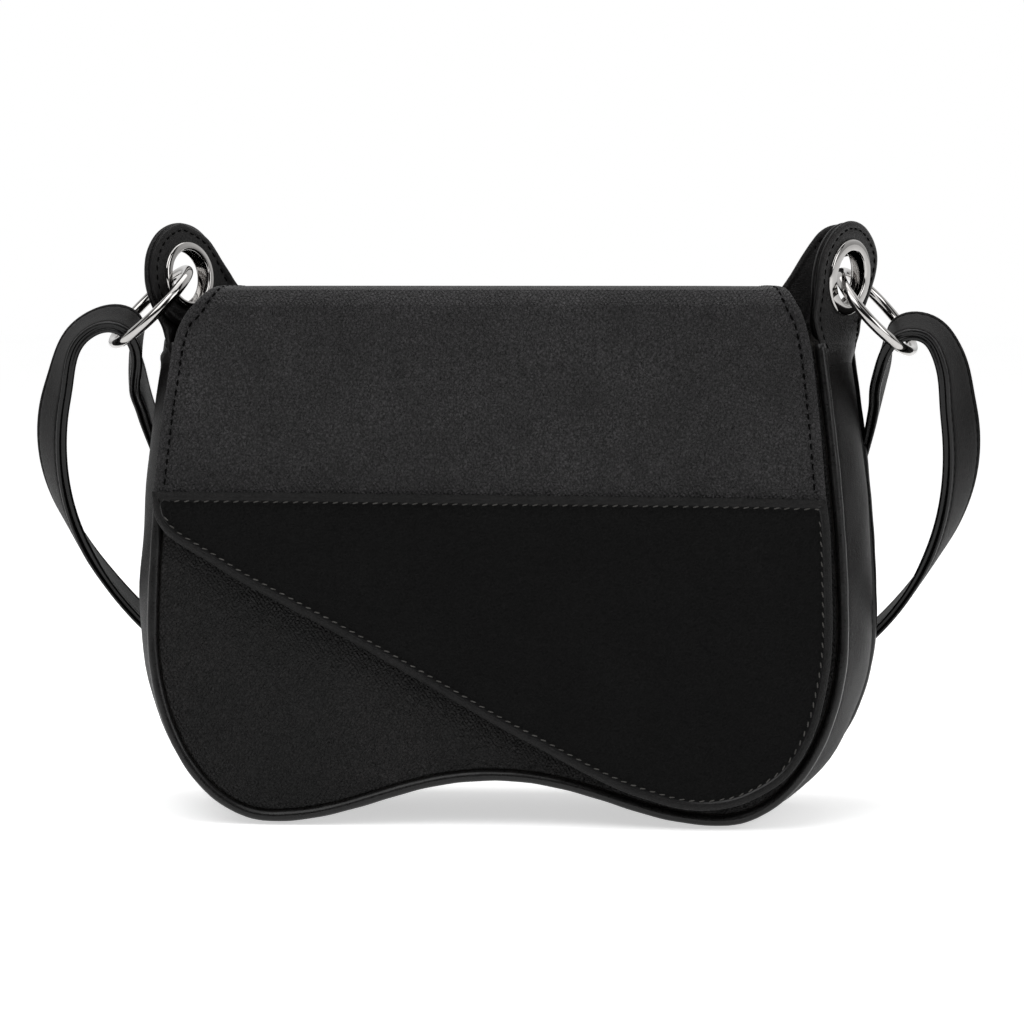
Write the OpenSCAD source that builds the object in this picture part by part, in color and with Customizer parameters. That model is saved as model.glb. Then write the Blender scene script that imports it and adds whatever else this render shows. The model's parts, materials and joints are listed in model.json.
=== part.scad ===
/* [Body] */
// Width of the front panel's piping at its widest
front_w = 250; // [225:1:275]
// How much further out the back outline lies on each side
back_flare = 12; // [8:0.5:15]
// Height of the gusset's top ends above the floor
gusset_top = 174; // [165:1:185]
// Height of the lobes' piping centres above the floor
lobe_rise = 3; // [2.6:0.1:3.5]
// Height of the arch between the lobes above their piping
arch_rise = 15.5; // [8:0.5:24]
// Depth between the piping planes at the floor
base_d = 70; // [64:1:80]
// Depth between the piping planes at the mouth
mouth_d = 46; // [44:1:50]
// Height from the gusset's top ends up to the flap's underside
mouth_rise = 16; // [13:0.5:18]
// How far the gusset bulges between the pipings
gusset_bulge = 3.4; // [3.2:0.1:4]
// Radius of the piping cords
piping_r = 2; // [1.8:0.1:2.2]
// Thickness of the panel leather
panel_t = 1.8; // [1.4:0.1:2]
// Thickness of the gusset leather
gusset_t = 1.6; // [1.4:0.1:1.8]
// Thickness of the stiffener boards
board_t = 1.1; // [1:0.1:1.3]
// Thickness of the lining cloth and its skiver backing
lining_t = 0.8; // [0.6:0.1:1]
// Gap between parts that lie against each other
seat_gap = 0.2; // [0.1:0.05:0.25]

/* [Pocket] */
// Width of the slip pocket
pocket_w = 130; // [100:1:150]
// Height of the slip pocket
pocket_h = 90; // [70:1:105]
// Clear depth of the slip pocket
pocket_d = 8; // [7:0.5:10]

/* [Flap] */
// Thickness of the flap's upper leather
flap_t = 1.4; // [1.2:0.1:1.6]
// Thickness of the accent leather over it
accent_t = 1.4; // [1.2:0.1:1.6]
// Inner radius of the flap's front bend
bend_r = 6; // [6:0.1:7]
// Gap between the front panel's face and the flap's lining
flap_gap = 2.4; // [2.3:0.05:2.6]
// Width of the flap at its hinge
hinge_w = 192; // [180:1:193]
// Width of the flap at its widest
flap_w = 242; // [225:1:243]
// Height of the accent panel's top edge above the floor
seam_z = 119; // [112:1:126]
// How far the accent panel overlaps the upper leather
overlap = 12; // [8:0.5:16]
// Height of the accent lobe's lowest point above the floor
flap_drop = 8; // [7:0.5:12]

/* [Ears] */
// Distance of each eyelet's centre from the middle, left and right
ear_reach = [118, 125]; // [115:0.5:128]
// Height of the eyelets' centres above the floor
eyelet_z = 198; // [196:0.5:203]
// Turn of each ear's face from the front, left and right
ear_turn = [56, 58]; // [50:1:66]
// Outward lean of the ears
ear_lean = 7; // [4:0.5:8]
// Radius of an ear's head
head_r = 20; // [19:0.1:20.5]
// Thickness of one ear layer
ear_t = 2.2; // [2:0.1:2.4]
// Outer radius of an eyelet's flange
eyelet_r = 13.5; // [13:0.1:14]
// Inner radius of an eyelet
eyelet_bore_r = 9.6; // [9.4:0.1:10]
// Wall of an eyelet's barrel
barrel_t = 0.8; // [0.6:0.1:1]
// Thickness of an eyelet's flange
flange_t = 0.7; // [0.6:0.1:0.8]

/* [Rings and strap] */
// Radius of a ring, to the middle of its wire
ring_r = 19; // [18.8:0.1:19.5]
// Radius of a ring's wire
wire_r = 2; // [1.8:0.1:2.1]
// Width of the strap
strap_w = 24; // [22:0.5:25]
// Thickness of one of the strap's two layers
strap_t = 1.7; // [1.4:0.1:1.8]
// Distance of the strap's widest point from the middle
strap_reach = 170; // [168:1:175]
// Distance of the strap behind the back panel's foot
strap_back_gap = 13; // [12.5:0.5:16]
// Radius of a rivet's head
rivet_r = 3; // [2.5:0.1:3.5]

/* [Snap] */
// Distance of the snap to the right of the middle
snap_x = 48; // [30:1:60]
// Height of the snap above the floor
snap_z = 52; // [45:1:60]
// Radius of the snap's plates
snap_r = 8; // [7:0.1:9]

/* [Hidden] */
$fn = 64;

// Overrun of cuts
cut = 1;
// A block larger than the object
world = 600;
// Steps of each curve of the saddle outline
curve_steps = 9;
// Stations of the gusset from front to back
gusset_steps = 6;
// Sides of a piping cord
piping_sides = 8;
// Half depths at the floor and at the flap's underside
foot_y = base_d / 2;
flap_z = gusset_top + mouth_rise;
lean = atan((base_d - mouth_d) / 2 / flap_z);
// Faces of the panels, measured outward from the piping plane
panel_out = 0.3;
panel_in = panel_out - panel_t;
board_in = panel_in - board_t;
lining_out = board_in - seat_gap;
lining_in = lining_out - lining_t;
// Where the gusset's edges start behind the piping cords
gusset_edge = -piping_r - seat_gap;
// How far the gusset's outer face lies outside the piping centres
gusset_out = 0.3;
gusset_in = gusset_t - gusset_out;
top_straight = gusset_top / cos(lean);

// Saddle outline, as shares of the half width and of the height over the lobes
side_shares = [[0.928, 1], [0.966, 0.807], [1, 0.57], [1, 0.392]];
lobe_shares = [[1, 0.392], [1, 0.1755], [0.8424, 0], [0.648, 0]];
arch_shares = [[0.648, 0], [0.408, 0], [0.272, 1], [0, 1]];

function bezier(p, t) =
    pow(1 - t, 3) * p[0] + 3 * t * pow(1 - t, 2) * p[1]
    + 3 * t * t * (1 - t) * p[2] + pow(t, 3) * p[3];
function scaled(shares, w, h) = [for (s = shares) [s[0] * w, lobe_rise + s[1] * h]];
function curve(p, last) = [for (k = [0:curve_steps - 1 + last]) bezier(p, k / curve_steps)];
function half_outline(w) = concat(
    curve(scaled(side_shares, w, top_straight - lobe_rise), 0),
    curve(scaled(lobe_shares, w, top_straight - lobe_rise), 0),
    curve(scaled(arch_shares, w, arch_rise), 1));
function mirrored(half) =
    concat(half, [for (k = [len(half) - 2:-1:0]) [-half[k][0], half[k][1]]]);
function unit(v) = v / norm(v);
function inward(p, k) =
    let (a = p[max(k - 1, 0)], b = p[min(k + 1, len(p) - 1)], t = unit(b - a)) [t[1], -t[0]];
function inset_path(p, d) = [for (k = [0:len(p) - 1]) p[k] + d * inward(p, k)];
// Open outline from the right top end, down and along the bottom, to the left top end
function outline(w, d) = inset_path(mirrored(half_outline(w)), d);
front_half = front_w / 2;
back_half = front_half + back_flare;

// A point of the front or back plane: across, up the panel, outward from the piping plane
function plane_point(p, out, side) = [p[0],
    side * (foot_y - p[1] * sin(lean) + out * cos(lean)),
    p[1] * cos(lean) + out * sin(lean)];

// A closed solid through sections that all have as many points; lapped solids share a face,
// which the one with back set splits as the other does
module skin(rings, back = false) {
    n = len(rings[0]);
    m = len(rings);
    points = [for (r = rings) each r];
    sides = [for (j = [0:m - 2], k = [0:n - 1]) let (a = j * n + k, b = a + n,
        c = j * n + (k + 1) % n, d = c + n)
        each back ? [[a, b, c], [b, d, c]] : [[a, b, d], [a, d, c]]];
    first = [[for (k = [0:n - 1]) k]];
    last = [[for (k = [n - 1:-1:0]) (m - 1) * n + k]];
    polyhedron(points, concat(first, sides, last));
}

// The space inside the bag, d inside the piping outline, between two planes
module bag_volume(d, out, rise) {
    front = [for (p = outline(front_half, d)) plane_point(p, out, -1)];
    back = [for (p = outline(back_half, d)) plane_point(p, out, 1)];
    normals = outline(front_half, 0) - outline(front_half, 1);
    n = len(front);
    skin([for (j = [0:gusset_steps]) let (t = j / gusset_steps, b = gusset_bulge * sin(180 * t))
        concat(
            [front[0] * (1 - t) + back[0] * t + [0, 0, rise]],
            [for (k = [0:n - 1]) front[k] * (1 - t) + back[k] * t
                + b * [normals[k][0], 0, normals[k][1]]],
            [front[n - 1] * (1 - t) + back[n - 1] * t + [0, 0, rise]])]);
}

// Places its children in the front or back plane, with Z pointing outward
module panel_frame(side) {
    mirror([0, side > 0 ? 1 : 0, 0])
        translate([0, -foot_y, 0])
        rotate([90 - lean, 0, 0])
        children();
}

module slab(from, to) {
    translate([0, 0, from]) linear_extrude(to - from) children();
}

// Panel outline, with its top raised to the mouth between the ears
module panel_shape(half, d, top_half, top_s) {
    path = outline(half, d);
    polygon(concat([[top_half, top_s]], path, [[-top_half, top_s]]));
}

// Half width of the panels' raised top edge
raised_half = hinge_w / 2 + 2 * panel_t;
front_top = (flap_z - bend_r + panel_t) / cos(lean);
back_top = (flap_z - 2 * seat_gap) / cos(lean);
panel_inset = piping_r + seat_gap;
board_inset = gusset_in + seat_gap;

module front_panel() {
    centred() color([0.1, 0.1, 0.1])
        panel_frame(-1)
        slab(panel_in, panel_out) panel_shape(front_half, panel_inset, raised_half, front_top);
}

module back_panel() {
    centred() color([0.12, 0.12, 0.12])
        panel_frame(1)
        slab(panel_in, panel_out) panel_shape(back_half, panel_inset, raised_half, back_top);
}

module stiffener(half, side, top_s) {
    panel_frame(side)
        slab(board_in, panel_in) difference() {
            panel_shape(half, board_inset + seat_gap, raised_half, top_s);
            if (side < 0) translate([snap_x, snap_z]) circle(snap_r + seat_gap);
        }
}

module front_stiffener() {
    centred() color([0.55, 0.5, 0.42]) stiffener(front_half, -1, front_top);
}

module back_stiffener() {
    centred() color([0.55, 0.5, 0.42]) stiffener(back_half, 1, top_straight);
}

// The object is centred from front to back between the flap's foot and the strap
front_reach = foot_y - flap_drop * tan(lean)
    + (flap_gap + lining_t + board_t + flap_t + accent_t) / cos(lean);
centre_y = (foot_y + strap_back_gap + strap_w / 2 - front_reach) / 2;

module centred() {
    translate([0, -centre_y, 0]) children();
}

module above_floor() {
    intersection() {
        children();
        translate([-world / 2, -world / 2, 0]) cube(world);
    }
}

module gusset() {
    centred() color([0.2, 0.19, 0.19])
        above_floor() difference() {
            bag_volume(-gusset_out, gusset_edge, 0);
            bag_volume(gusset_in, gusset_edge + cut, cut);
            translate([-world / 2, -world / 2, gusset_top]) cube(world);
        }
}

module piping(half, side) {
    path = [for (p = outline(half, 0)) plane_point(p, 0, side)];
    out = [0, side * cos(lean), sin(lean)];
    flat = outline(half, 0);
    skin([for (k = [0:len(path) - 1]) let (n = inward(flat, k), across = plane_dir(n, side))
        [for (j = [0:piping_sides - 1]) let (a = side * 360 * (j + 0.5) / piping_sides)
            path[k] + piping_r * (cos(a) * across + sin(a) * out)]]);
}
function plane_dir(n, side) = [n[0], -side * n[1] * sin(lean), n[1] * cos(lean)];

module front_piping() {
    centred() color([0.08, 0.08, 0.08]) piping(front_half, -1);
}

module back_piping() {
    centred() color([0.08, 0.08, 0.08]) piping(back_half, 1);
}

lining_inset = board_inset + 2 * seat_gap;

module lining() {
    centred() color([0.35, 0.3, 0.26]) difference() {
        bag_volume(lining_inset, lining_out, 0);
        bag_volume(lining_inset + lining_t, lining_in, cut);
        translate([-world / 2, -world / 2, gusset_top - seat_gap]) cube(world);
    }
}

pocket_top = top_straight - 3 * mouth_rise / 2;
pocket_low = pocket_top - pocket_h;
pocket_seam = 3 * lining_t;

module inner_pocket() {
    centred() color([0.38, 0.33, 0.28])
        panel_frame(1)
        difference() {
            slab(lining_in - seat_gap - pocket_d - lining_t, lining_in - seat_gap)
                translate([-pocket_w / 2, pocket_low]) square([pocket_w, pocket_h]);
            slab(lining_in - seat_gap - pocket_d, lining_in + cut)
                translate([-pocket_w / 2 + pocket_seam, pocket_low + pocket_seam])
                square([pocket_w - 2 * pocket_seam, pocket_h]);
        }
}

binding_t = 0.5;
binding_h = 9;

module mouth_binding() {
    centred() color([0.1, 0.1, 0.1])
        panel_frame(-1)
        difference() {
            slab(board_in - seat_gap / 2 - binding_t, panel_out + seat_gap / 2 + binding_t)
                translate([-raised_half, front_top - binding_h])
                square([2 * raised_half, binding_h + binding_t + seat_gap]);
            slab(board_in - seat_gap / 2, panel_out + seat_gap / 2)
                translate([-raised_half - cut, front_top - binding_h - cut])
                square([2 * (raised_half + cut), binding_h + cut + seat_gap]);
        }
}

// Ears: the outer layer carries on the gusset, the inner layer carries on the back panel
ear_shift = [5, 5];
function nth(side) = side < 0 ? 0 : 1;
function eyelet_place(side) = [side * ear_reach[nth(side)],
    -side * ear_shift[nth(side)], eyelet_z];
hole_r = eyelet_bore_r + barrel_t + seat_gap / 2;
ear_foot = gusset_top + seat_gap;
ear_drop = eyelet_z - ear_foot;

// Upright frame at an eyelet, leaning with the ear
module lean_frame(side) {
    translate(eyelet_place(side)) rotate([0, side * ear_lean, 0]) children();
}

// X runs along the ear, Y up, Z out of the face that the front view shows
module ear_frame(side) {
    lean_frame(side) rotate([90, 0, ear_turn[nth(side)]]) children();
}

module ear_cuts(side) {
    ear_frame(side) translate([0, 0, -ear_t - cut]) cylinder(r = hole_r, h = 2 * (ear_t + cut));
    translate([-world / 2, -world / 2, ear_foot - world]) cube(world);
}

// Right outer layer: a flat tab whose front edge runs on from the front piping
ear_tab_shares = [[-0.97, 0.24], [-0.96, 0], [-0.92, -0.4], [-0.86, -2], [0.45, -2],
    [0.45, -0.85], [0.57, -0.62], [0.83, -0.3], [0.98, 0.2]];

module right_ear_outer() {
    centred() color([0.17, 0.16, 0.16]) difference() {
        ear_frame(1) linear_extrude(ear_t) {
            circle(head_r);
            polygon(head_r * ear_tab_shares);
        }
        ear_cuts(1);
    }
}

// Left outer layer: a round head on a neck that twists down to the gusset's top end
neck_top_half = 0.5 * head_r;
neck_foot_half = 0.8 * head_r;
neck_steps = 8;
neck_straight = 0.3;
gusset_turn = 90 + atan(0.928 * back_flare / mouth_d);

module left_ear_neck() {
    top = eyelet_place(-1) + 0.7 * head_r * [sin(ear_lean), 0, -cos(ear_lean)]
        - 0.15 * head_r * [cos(ear_turn[0]), sin(ear_turn[0]), 0];
    foot = [-0.928 * (front_half + back_half) / 2 - gusset_bulge + gusset_t, -mouth_d / 10,
        ear_foot - cut];
    skin([for (j = [0:neck_steps]) let (t = j / neck_steps,
        m = max(0, t - neck_straight) / (1 - neck_straight), e = m * m * (3 - 2 * m),
        a = ear_turn[0] * (1 - e) + gusset_turn * e,
        h = neck_top_half * (1 - e) + neck_foot_half * e,
        c = top * (1 - t) + foot * t, u = [cos(a), sin(a), 0], n = [sin(a), -cos(a), 0])
        [c - h * u, c - h * u - ear_t * n, c + h * u - ear_t * n, c + h * u]]);
}

module left_ear_outer() {
    centred() color([0.17, 0.16, 0.16]) difference() {
        union() {
            ear_frame(-1) translate([0, 0, -ear_t]) cylinder(r = head_r, h = ear_t);
            left_ear_neck();
        }
        ear_cuts(-1);
    }
}

// Inner layers: a sheet that leaves the back panel's face and curls forward to the ear
flank_x = raised_half;
back_face = foot_y - gusset_top * tan(lean) + panel_in - 2 * seat_gap - ear_t;
flank_shares = [[0.97, 0.98], [0.6, 0.72], [0.42, 0.4], [0.16, -0.2], [0, -0.5]];
// Where each sheet's curve runs: a share of its span along the back panel, then two of head_r
curl_shares = [[0.35, 0.9, 0.7], [0.62, 0.95, 0.68]];
curl_steps = 10;
// How high above the eyelet's centre the ring's way is cut
ring_way = 7;
ring_depth = 13;

function inner_path(side) =
    let (reach = ear_reach[nth(side)], a = ear_turn[nth(side)], u = [cos(a), sin(a)],
        base = side * -0.5 * ear_t * [sin(a), -cos(a)], c = curl_shares[nth(side)],
        start = [-side * (reach - flank_x), back_face + side * ear_shift[nth(side)]],
        curve = [start, start + [side * c[0] * (reach - flank_x), 0],
            base + c[1] * head_r * u, base + c[2] * head_r * u])
    concat([for (k = [0:curl_steps]) bezier(curve, k / curl_steps)], [base - 0.8 * head_r * u]);
function strip(path, half) = concat(inset_path(path, -half),
    [for (k = [len(path) - 1:-1:0]) inset_path(path, half)[k]]);

module ear_inner(side) {
    span = ear_reach[nth(side)] - flank_x;
    wide = head_r * cos(ear_turn[nth(side)]) + ear_t * sin(ear_turn[nth(side)]);
    difference() {
        lean_frame(side) intersection() {
            translate([0, 0, -2 * ear_drop]) linear_extrude(4 * ear_drop)
                polygon(strip(inner_path(side), ear_t / 2));
            rotate([90, 0, 0]) translate([0, 0, -base_d / 2]) linear_extrude(base_d) {
                polygon(concat(
                    [for (a = [84:-12:-72]) [side * wide * cos(a), head_r * sin(a)]],
                    [[side * wide / 5, -head_r], [-side * wide / 4, -2 * head_r],
                     [-side * span, -2 * head_r]],
                    [for (k = [len(flank_shares) - 1:-1:0]) let (s = flank_shares[k])
                        [-side * span * (1 - s[0]), head_r * s[1]]]));
            }
        }
        ear_cuts(side);
        // The way of the ring behind the right ear
        if (side > 0) ear_frame(side)
            translate([hole_r + seat_gap, -2 * head_r, -ring_depth])
            cube([2 * head_r, 2 * head_r + ring_way, ring_depth]);
    }
}

module left_ear_inner() {
    centred() color([0.18, 0.17, 0.17]) ear_inner(-1);
}

module right_ear_inner() {
    centred() color([0.18, 0.17, 0.17]) ear_inner(1);
}

// A flange or washer with rounded edges, from its seat outward
module flange(inner, outer) {
    r = flange_t / 2;
    rotate_extrude() {
        translate([inner, 0]) square([outer - inner - r, flange_t]);
        translate([outer - r, r]) circle(r, $fn = 24);
    }
}

module eyelet(side) {
    centred() color([0.8, 0.8, 0.82]) ear_frame(side) {
        translate([0, 0, ear_t]) flange(eyelet_bore_r, eyelet_r);
        translate([0, 0, -ear_t - flange_t]) difference() {
            cylinder(r = eyelet_bore_r + barrel_t, h = 2 * ear_t + 1.5 * flange_t);
            translate([0, 0, -cut]) cylinder(r = eyelet_bore_r, h = 2 * (ear_t + flange_t + cut));
        }
    }
}

module eyelet_washer(side) {
    centred() color([0.75, 0.75, 0.77]) ear_frame(side)
        translate([0, 0, -ear_t]) mirror([0, 0, 1])
        flange(eyelet_bore_r + barrel_t + seat_gap / 4, eyelet_r - flange_t);
}

module left_eyelet() { eyelet(-1); }
module right_eyelet() { eyelet(1); }
module left_eyelet_washer() { eyelet_washer(-1); }
module right_eyelet_washer() { eyelet_washer(1); }

// Rings: each hangs outward and down from its eyelet, nearly edge on to the front view
ring_tilt = [47, 43];
ring_turn = [15, 12];
ring_seat = [2.5, 1.5];
function ring_dir(side) = let (a = ring_tilt[nth(side)]) [side * sin(a), 0, -cos(a)];
function ring_top(side) =
    let (e = eyelet_place(side)) [e[0], 0, e[2]] - ring_seat[nth(side)] * ring_dir(side);
function ring_far(side) = ring_top(side) + 2 * ring_r * ring_dir(side);

module ring(side) {
    centred() color([0.82, 0.82, 0.84])
        translate(ring_top(side))
        rotate([0, -side * ring_tilt[nth(side)], 0])
        rotate([0, 0, -side * ring_turn[nth(side)]])
        translate([0, 0, -ring_r])
        rotate([0, 90, 0])
        rotate_extrude() translate([ring_r, 0]) circle(wire_r, $fn = 32);
}

module left_ring() { ring(-1); }
module right_ring() { ring(1); }

// Snap: a stud on the flap's lining and a socket on the front panel
socket_h = 1.1;
stud_gap = 0.5;

module at_snap() {
    panel_frame(-1) translate([snap_x, snap_z]) children();
}

module snap_socket() {
    centred() color([0.6, 0.6, 0.62]) at_snap() translate([0, 0, panel_out]) difference() {
        cylinder(r = snap_r, h = socket_h);
        translate([0, 0, socket_h / 3]) cylinder(r = snap_r / 2, h = socket_h);
    }
}

module snap_socket_washer() {
    centred() color([0.6, 0.6, 0.62]) at_snap() translate([0, 0, board_in])
        cylinder(r = snap_r, h = board_t);
}

module snap_stud() {
    centred() color([0.6, 0.6, 0.62]) at_snap()
        translate([0, 0, panel_out + socket_h / 3 + stud_gap])
        cylinder(r = snap_r / 2 - stud_gap, h = flap_gap - panel_out - socket_h / 3 - stud_gap);
}

module snap_stud_washer() {
    centred() color([0.6, 0.6, 0.62]) at_snap() translate([0, 0, flap_gap + lining_t])
        cylinder(r = snap_r, h = board_t);
}

// Flap: a bent profile cut by its front outline and by its plan between the ears
flap_root = foot_y - flap_z * tan(lean) + panel_out;
bend_z = flap_z - bend_r;
bend_up = (bend_z - (flap_gap - bend_r) * sin(lean)) / cos(lean);
bend_y = -foot_y + bend_up * sin(lean) - (flap_gap - bend_r) * cos(lean);
bend_steps = 10;

function flap_line(out) = concat([[flap_root, flap_z + out]],
    [for (k = [0:bend_steps]) let (a = 90 + k * (90 - lean) / bend_steps)
        [bend_y, bend_z] + (bend_r + out) * [cos(a), sin(a)]],
    [[-foot_y - (flap_gap + out) / cos(lean), 0]]);

// The flap's outline, as shares of its half width and of the height up to the seam
flap_edge_shares = [[-1.013, 1], [-1.02, 0.95], [-1.005, 0.915], [-0.97, 0.88], [-0.9, 0.83],
    [-0.77, 0.755], [-0.6, 0.65], [-0.42, 0.545], [0.02, 0.29], [0.14, 0.225], [0.27, 0.155],
    [0.38, 0.105], [0.47, 0.075], [0.57, 0.055], [0.66, 0.05], [0.76, 0.075], [0.86, 0.14],
    [0.93, 0.24], [0.975, 0.36], [0.998, 0.5], [1, 0.65], [0.998, 0.82], [0.99, 1]];
flap_top_shares = [[0.975, 0.25], [0.955, 0.5], [0.935, 0.75], [0.92, 0.95], [0.915, 1.4]];
flap_half = flap_w / 2;
seam_rise = flap_z - seam_z;

module flap_front() {
    right = [for (s = flap_top_shares) [flap_half * s[0], seam_z + seam_rise * s[1]]];
    left = [for (k = [len(right) - 1:-1:0]) [-right[k][0], right[k][1]]];
    low = [for (s = flap_edge_shares)
        [flap_half * s[0], flap_drop + (seam_z - flap_drop) * (s[1] - 0.05) / 0.95]];
    polygon(concat(low, right, left));
}

// The side of the flap's top: shares of its widening, and of its depth from the hinge
plan_shares = [[0, -0.05], [0, 0.3], [0.16, 0.45], [0.5, 0.7], [1, 0.95]];

module flap_plan() {
    depth = flap_root - bend_y;
    widening = flap_half * flap_top_shares[4][0] - hinge_w / 2;
    right = concat([for (p = plan_shares)
        [hinge_w / 2 + p[0] * widening, flap_root - p[1] * depth]],
        [[flap_w, bend_y - bend_r / 2], [flap_w, -base_d]]);
    polygon(concat(right, [for (k = [len(right) - 1:-1:0]) [-right[k][0], right[k][1]]]));
}

module flap_layer(from, to) {
    intersection() {
        rotate([90, 0, 90]) translate([0, 0, -flap_w]) linear_extrude(2 * flap_w)
            polygon(concat(flap_line(from), [for (k = [len(flap_line(to)) - 1:-1:0])
                flap_line(to)[k]]));
        rotate([90, 0, 0]) translate([0, 0, -base_d]) linear_extrude(2 * base_d)
            flap_front();
        linear_extrude(world) flap_plan();
    }
}

upper_low = seam_z - overlap;
edge_inset = 3;
level_board = lining_t;
level_upper = level_board + board_t;
level_accent = level_upper + flap_t;
level_top = level_accent + accent_t;

module slab_between(low, high) {
    translate([-world / 2, -world / 2, low]) cube([world, world, high - low]);
}

module flap_lining() {
    centred() color([0.3, 0.26, 0.23]) flap_layer(0, level_board);
}

module flap_stiffener() {
    centred() color([0.55, 0.5, 0.42]) difference() {
        intersection() {
            flap_layer(level_board, level_upper);
            scale_in();
        }
        at_snap() cylinder(r = snap_r + seat_gap, h = 3 * flap_gap);
    }
}

// The stiffener stops short of the flap's edges
module scale_in() {
    share = 1 - edge_inset / flap_half;
    rotate([90, 0, 0]) translate([0, 0, -base_d]) linear_extrude(2 * base_d)
        translate([0, (1 - share) * seam_z]) scale(share) flap_front();
    linear_extrude(world) scale([share, 1]) flap_plan();
}

module flap_upper() {
    centred() color([0.19, 0.19, 0.19]) intersection() {
        flap_layer(level_upper, level_accent);
        slab_between(upper_low, world);
    }
}

module flap_accent() {
    centred() color([0.07, 0.07, 0.07]) {
        intersection() {
            flap_layer(level_accent, level_top);
            slab_between(0, seam_z);
        }
        intersection() {
            flap_layer(level_upper, level_accent + accent_t / 2);
            slab_between(0, upper_low - seat_gap);
        }
    }
}

// Strap: from a tail behind the bag, up and over a ring, out and down, and across behind
loop_r = 9.3;
// Around the ring: angle, then shares of loop_r outward and backward, and of strap_turn
loop_shares = [[185, 1, 0.26, 0.4], [160, 1.03, 0.05, 0.4], [130, 1.05, 0, 0.4],
    [100, 1.03, 0, 0.4], [72, 1.05, 0, 0.4], [36, 1.22, 0, 0.42]];
tail_gap = 2 * strap_t + seat_gap;
route_y = foot_y + strap_back_gap;
// Turn of the strap's width from front to back, where it's largest
strap_turn = 36;
// Outer run: shares of the strap's reach, of its distance behind, of the eyelets' height
// and of its turn
outer_shares = [[0.949, 0, 0.876, 0.5], [0.972, 0, 0.834, 0.6], [0.987, 0.02, 0.785, 0.75],
    [1, 0.06, 0.703, 1], [1, 0.14, 0.63, 1], [0.985, 0.27, 0.565, 0.95],
    [0.96, 0.48, 0.505, 0.8], [0.915, 0.78, 0.425, 0.6], [0.85, 0.98, 0.345, 0.35],
    [0.765, 1, 0.275, 0.15], [0.66, 1, 0.22, 0.05], [0.54, 1, 0.182, 0],
    [0.41, 1, 0.158, 0], [0.27, 1, 0.146, 0]];
middle_share = 0.14;
// Inner leg, from the joint up to the ring, in the same shares
inner_shares = [[0.618, 1, 0.262, 0], [0.66, 1, 0.33, 0], [0.69, 1, 0.4, 0],
    [0.716, 1, 0.47, 0], [0.743, 1, 0.545, 0], [0.766, 1, 0.615, 0],
    [0.792, 0.96, 0.668, 0], [0.808, 0.82, 0.713, 0], [0.814, 0.63, 0.752, 0.1],
    [0.815, 0.425, 0.788, 0.2], [0.815, 0.235, 0.824, 0.3]];

function xyz(p) = [p[0], p[1], p[2]];
function placed(shares, side) = [for (s = shares) [side * s[0] * strap_reach,
    s[1] * route_y, s[2] * eyelet_z, -side * s[3] * strap_turn]];
function loop_points(side) = [for (s = loop_shares) let (
    p = ring_far(side) + loop_r * [side * s[1] * cos(s[0]), s[2], s[1] * sin(s[0])])
    concat(p, [-side * s[3] * strap_turn])];
// The tail's end lies on the main run, one strap's thickness above it
joint_first = 13;
joint_middle = 12;
joint_last = 11;
function run_normal(run, k) =
    let (t = unit(xyz(run[min(k + 1, joint_first)]) - xyz(run[k - 1])))
    unit([-t[2] * sign(t[0]), 0, abs(t[0])]);
function joint_points(side) = let (run = placed(outer_shares, side))
    [for (k = [joint_first:-1:joint_last])
        concat(xyz(run[k]) + tail_gap * run_normal(run, k), [0])];
function half_route(side) = concat(joint_points(side), placed(inner_shares, side),
    loop_points(side), placed(outer_shares, side));
function reversed(p) = [for (k = [len(p) - 1:-1:0]) p[k]];
route_points = concat(half_route(-1), [[0, route_y, middle_share * eyelet_z, 0]],
    reversed(half_route(1)));

// A smooth curve through the points
smooth_steps = 3;
function smooth(p) = concat([for (k = [0:len(p) - 2]) let (a = p[max(k - 1, 0)], b = p[k],
    c = p[k + 1], d = p[min(k + 2, len(p) - 1)])
    each [for (j = [0:smooth_steps - 1]) let (t = j / smooth_steps)
        0.5 * (2 * b + (c - a) * t + (2 * a - 5 * b + 4 * c - d) * t * t
        + (3 * b - a - 3 * c + d) * t * t * t)]], [p[len(p) - 1]]);
route = smooth(route_points);
route_last = len(route) - 1;

// The strap's width points forward; turned, its front edge lies further in and lower
function along(k) = unit(xyz(route[min(k + 1, route_last)]) - xyz(route[max(k - 1, 0)]));
function across(k) = let (q = route[k][3], t = along(k),
    w = [sin(q) * cos(45), -cos(q), -abs(sin(q)) * cos(45)]) unit(w - (w * t) * t);
module strap_layer(from, to, back) {
    skin(back = back, rings = [for (k = [0:route_last]) let (c = xyz(route[k]), w = across(k) * strap_w / 2,
        n = cross(along(k), across(k)))
        [c - w + from * n, c + w + from * n, c + w + to * n, c - w + to * n]]);
}

// Rivets: two on each side, through the main run and the tail that lies on it
rivet_shank_r = 1.2;
rivet_head_t = 0.8;

module at_rivets() {
    for (side = [-1, 1], lane = [-1, 1]) {
        run = placed(outer_shares, side);
        n = run_normal(run, joint_middle);
        translate(xyz(run[joint_middle]) + [0, lane * strap_w / 4, 0])
            rotate([0, atan2(n[0], n[2]), 0])
            children();
    }
}

module rivet_holes() {
    at_rivets() translate([0, 0, -2 * strap_t])
        cylinder(r = rivet_shank_r + seat_gap / 2, h = tail_gap + 4 * strap_t);
}

module strap_outer() {
    centred() color([0.16, 0.15, 0.15]) difference() {
        strap_layer(0, strap_t, false);
        rivet_holes();
    }
}

module strap_inner() {
    centred() color([0.2, 0.19, 0.19]) difference() {
        strap_layer(-strap_t, 0, true);
        rivet_holes();
    }
}

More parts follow.
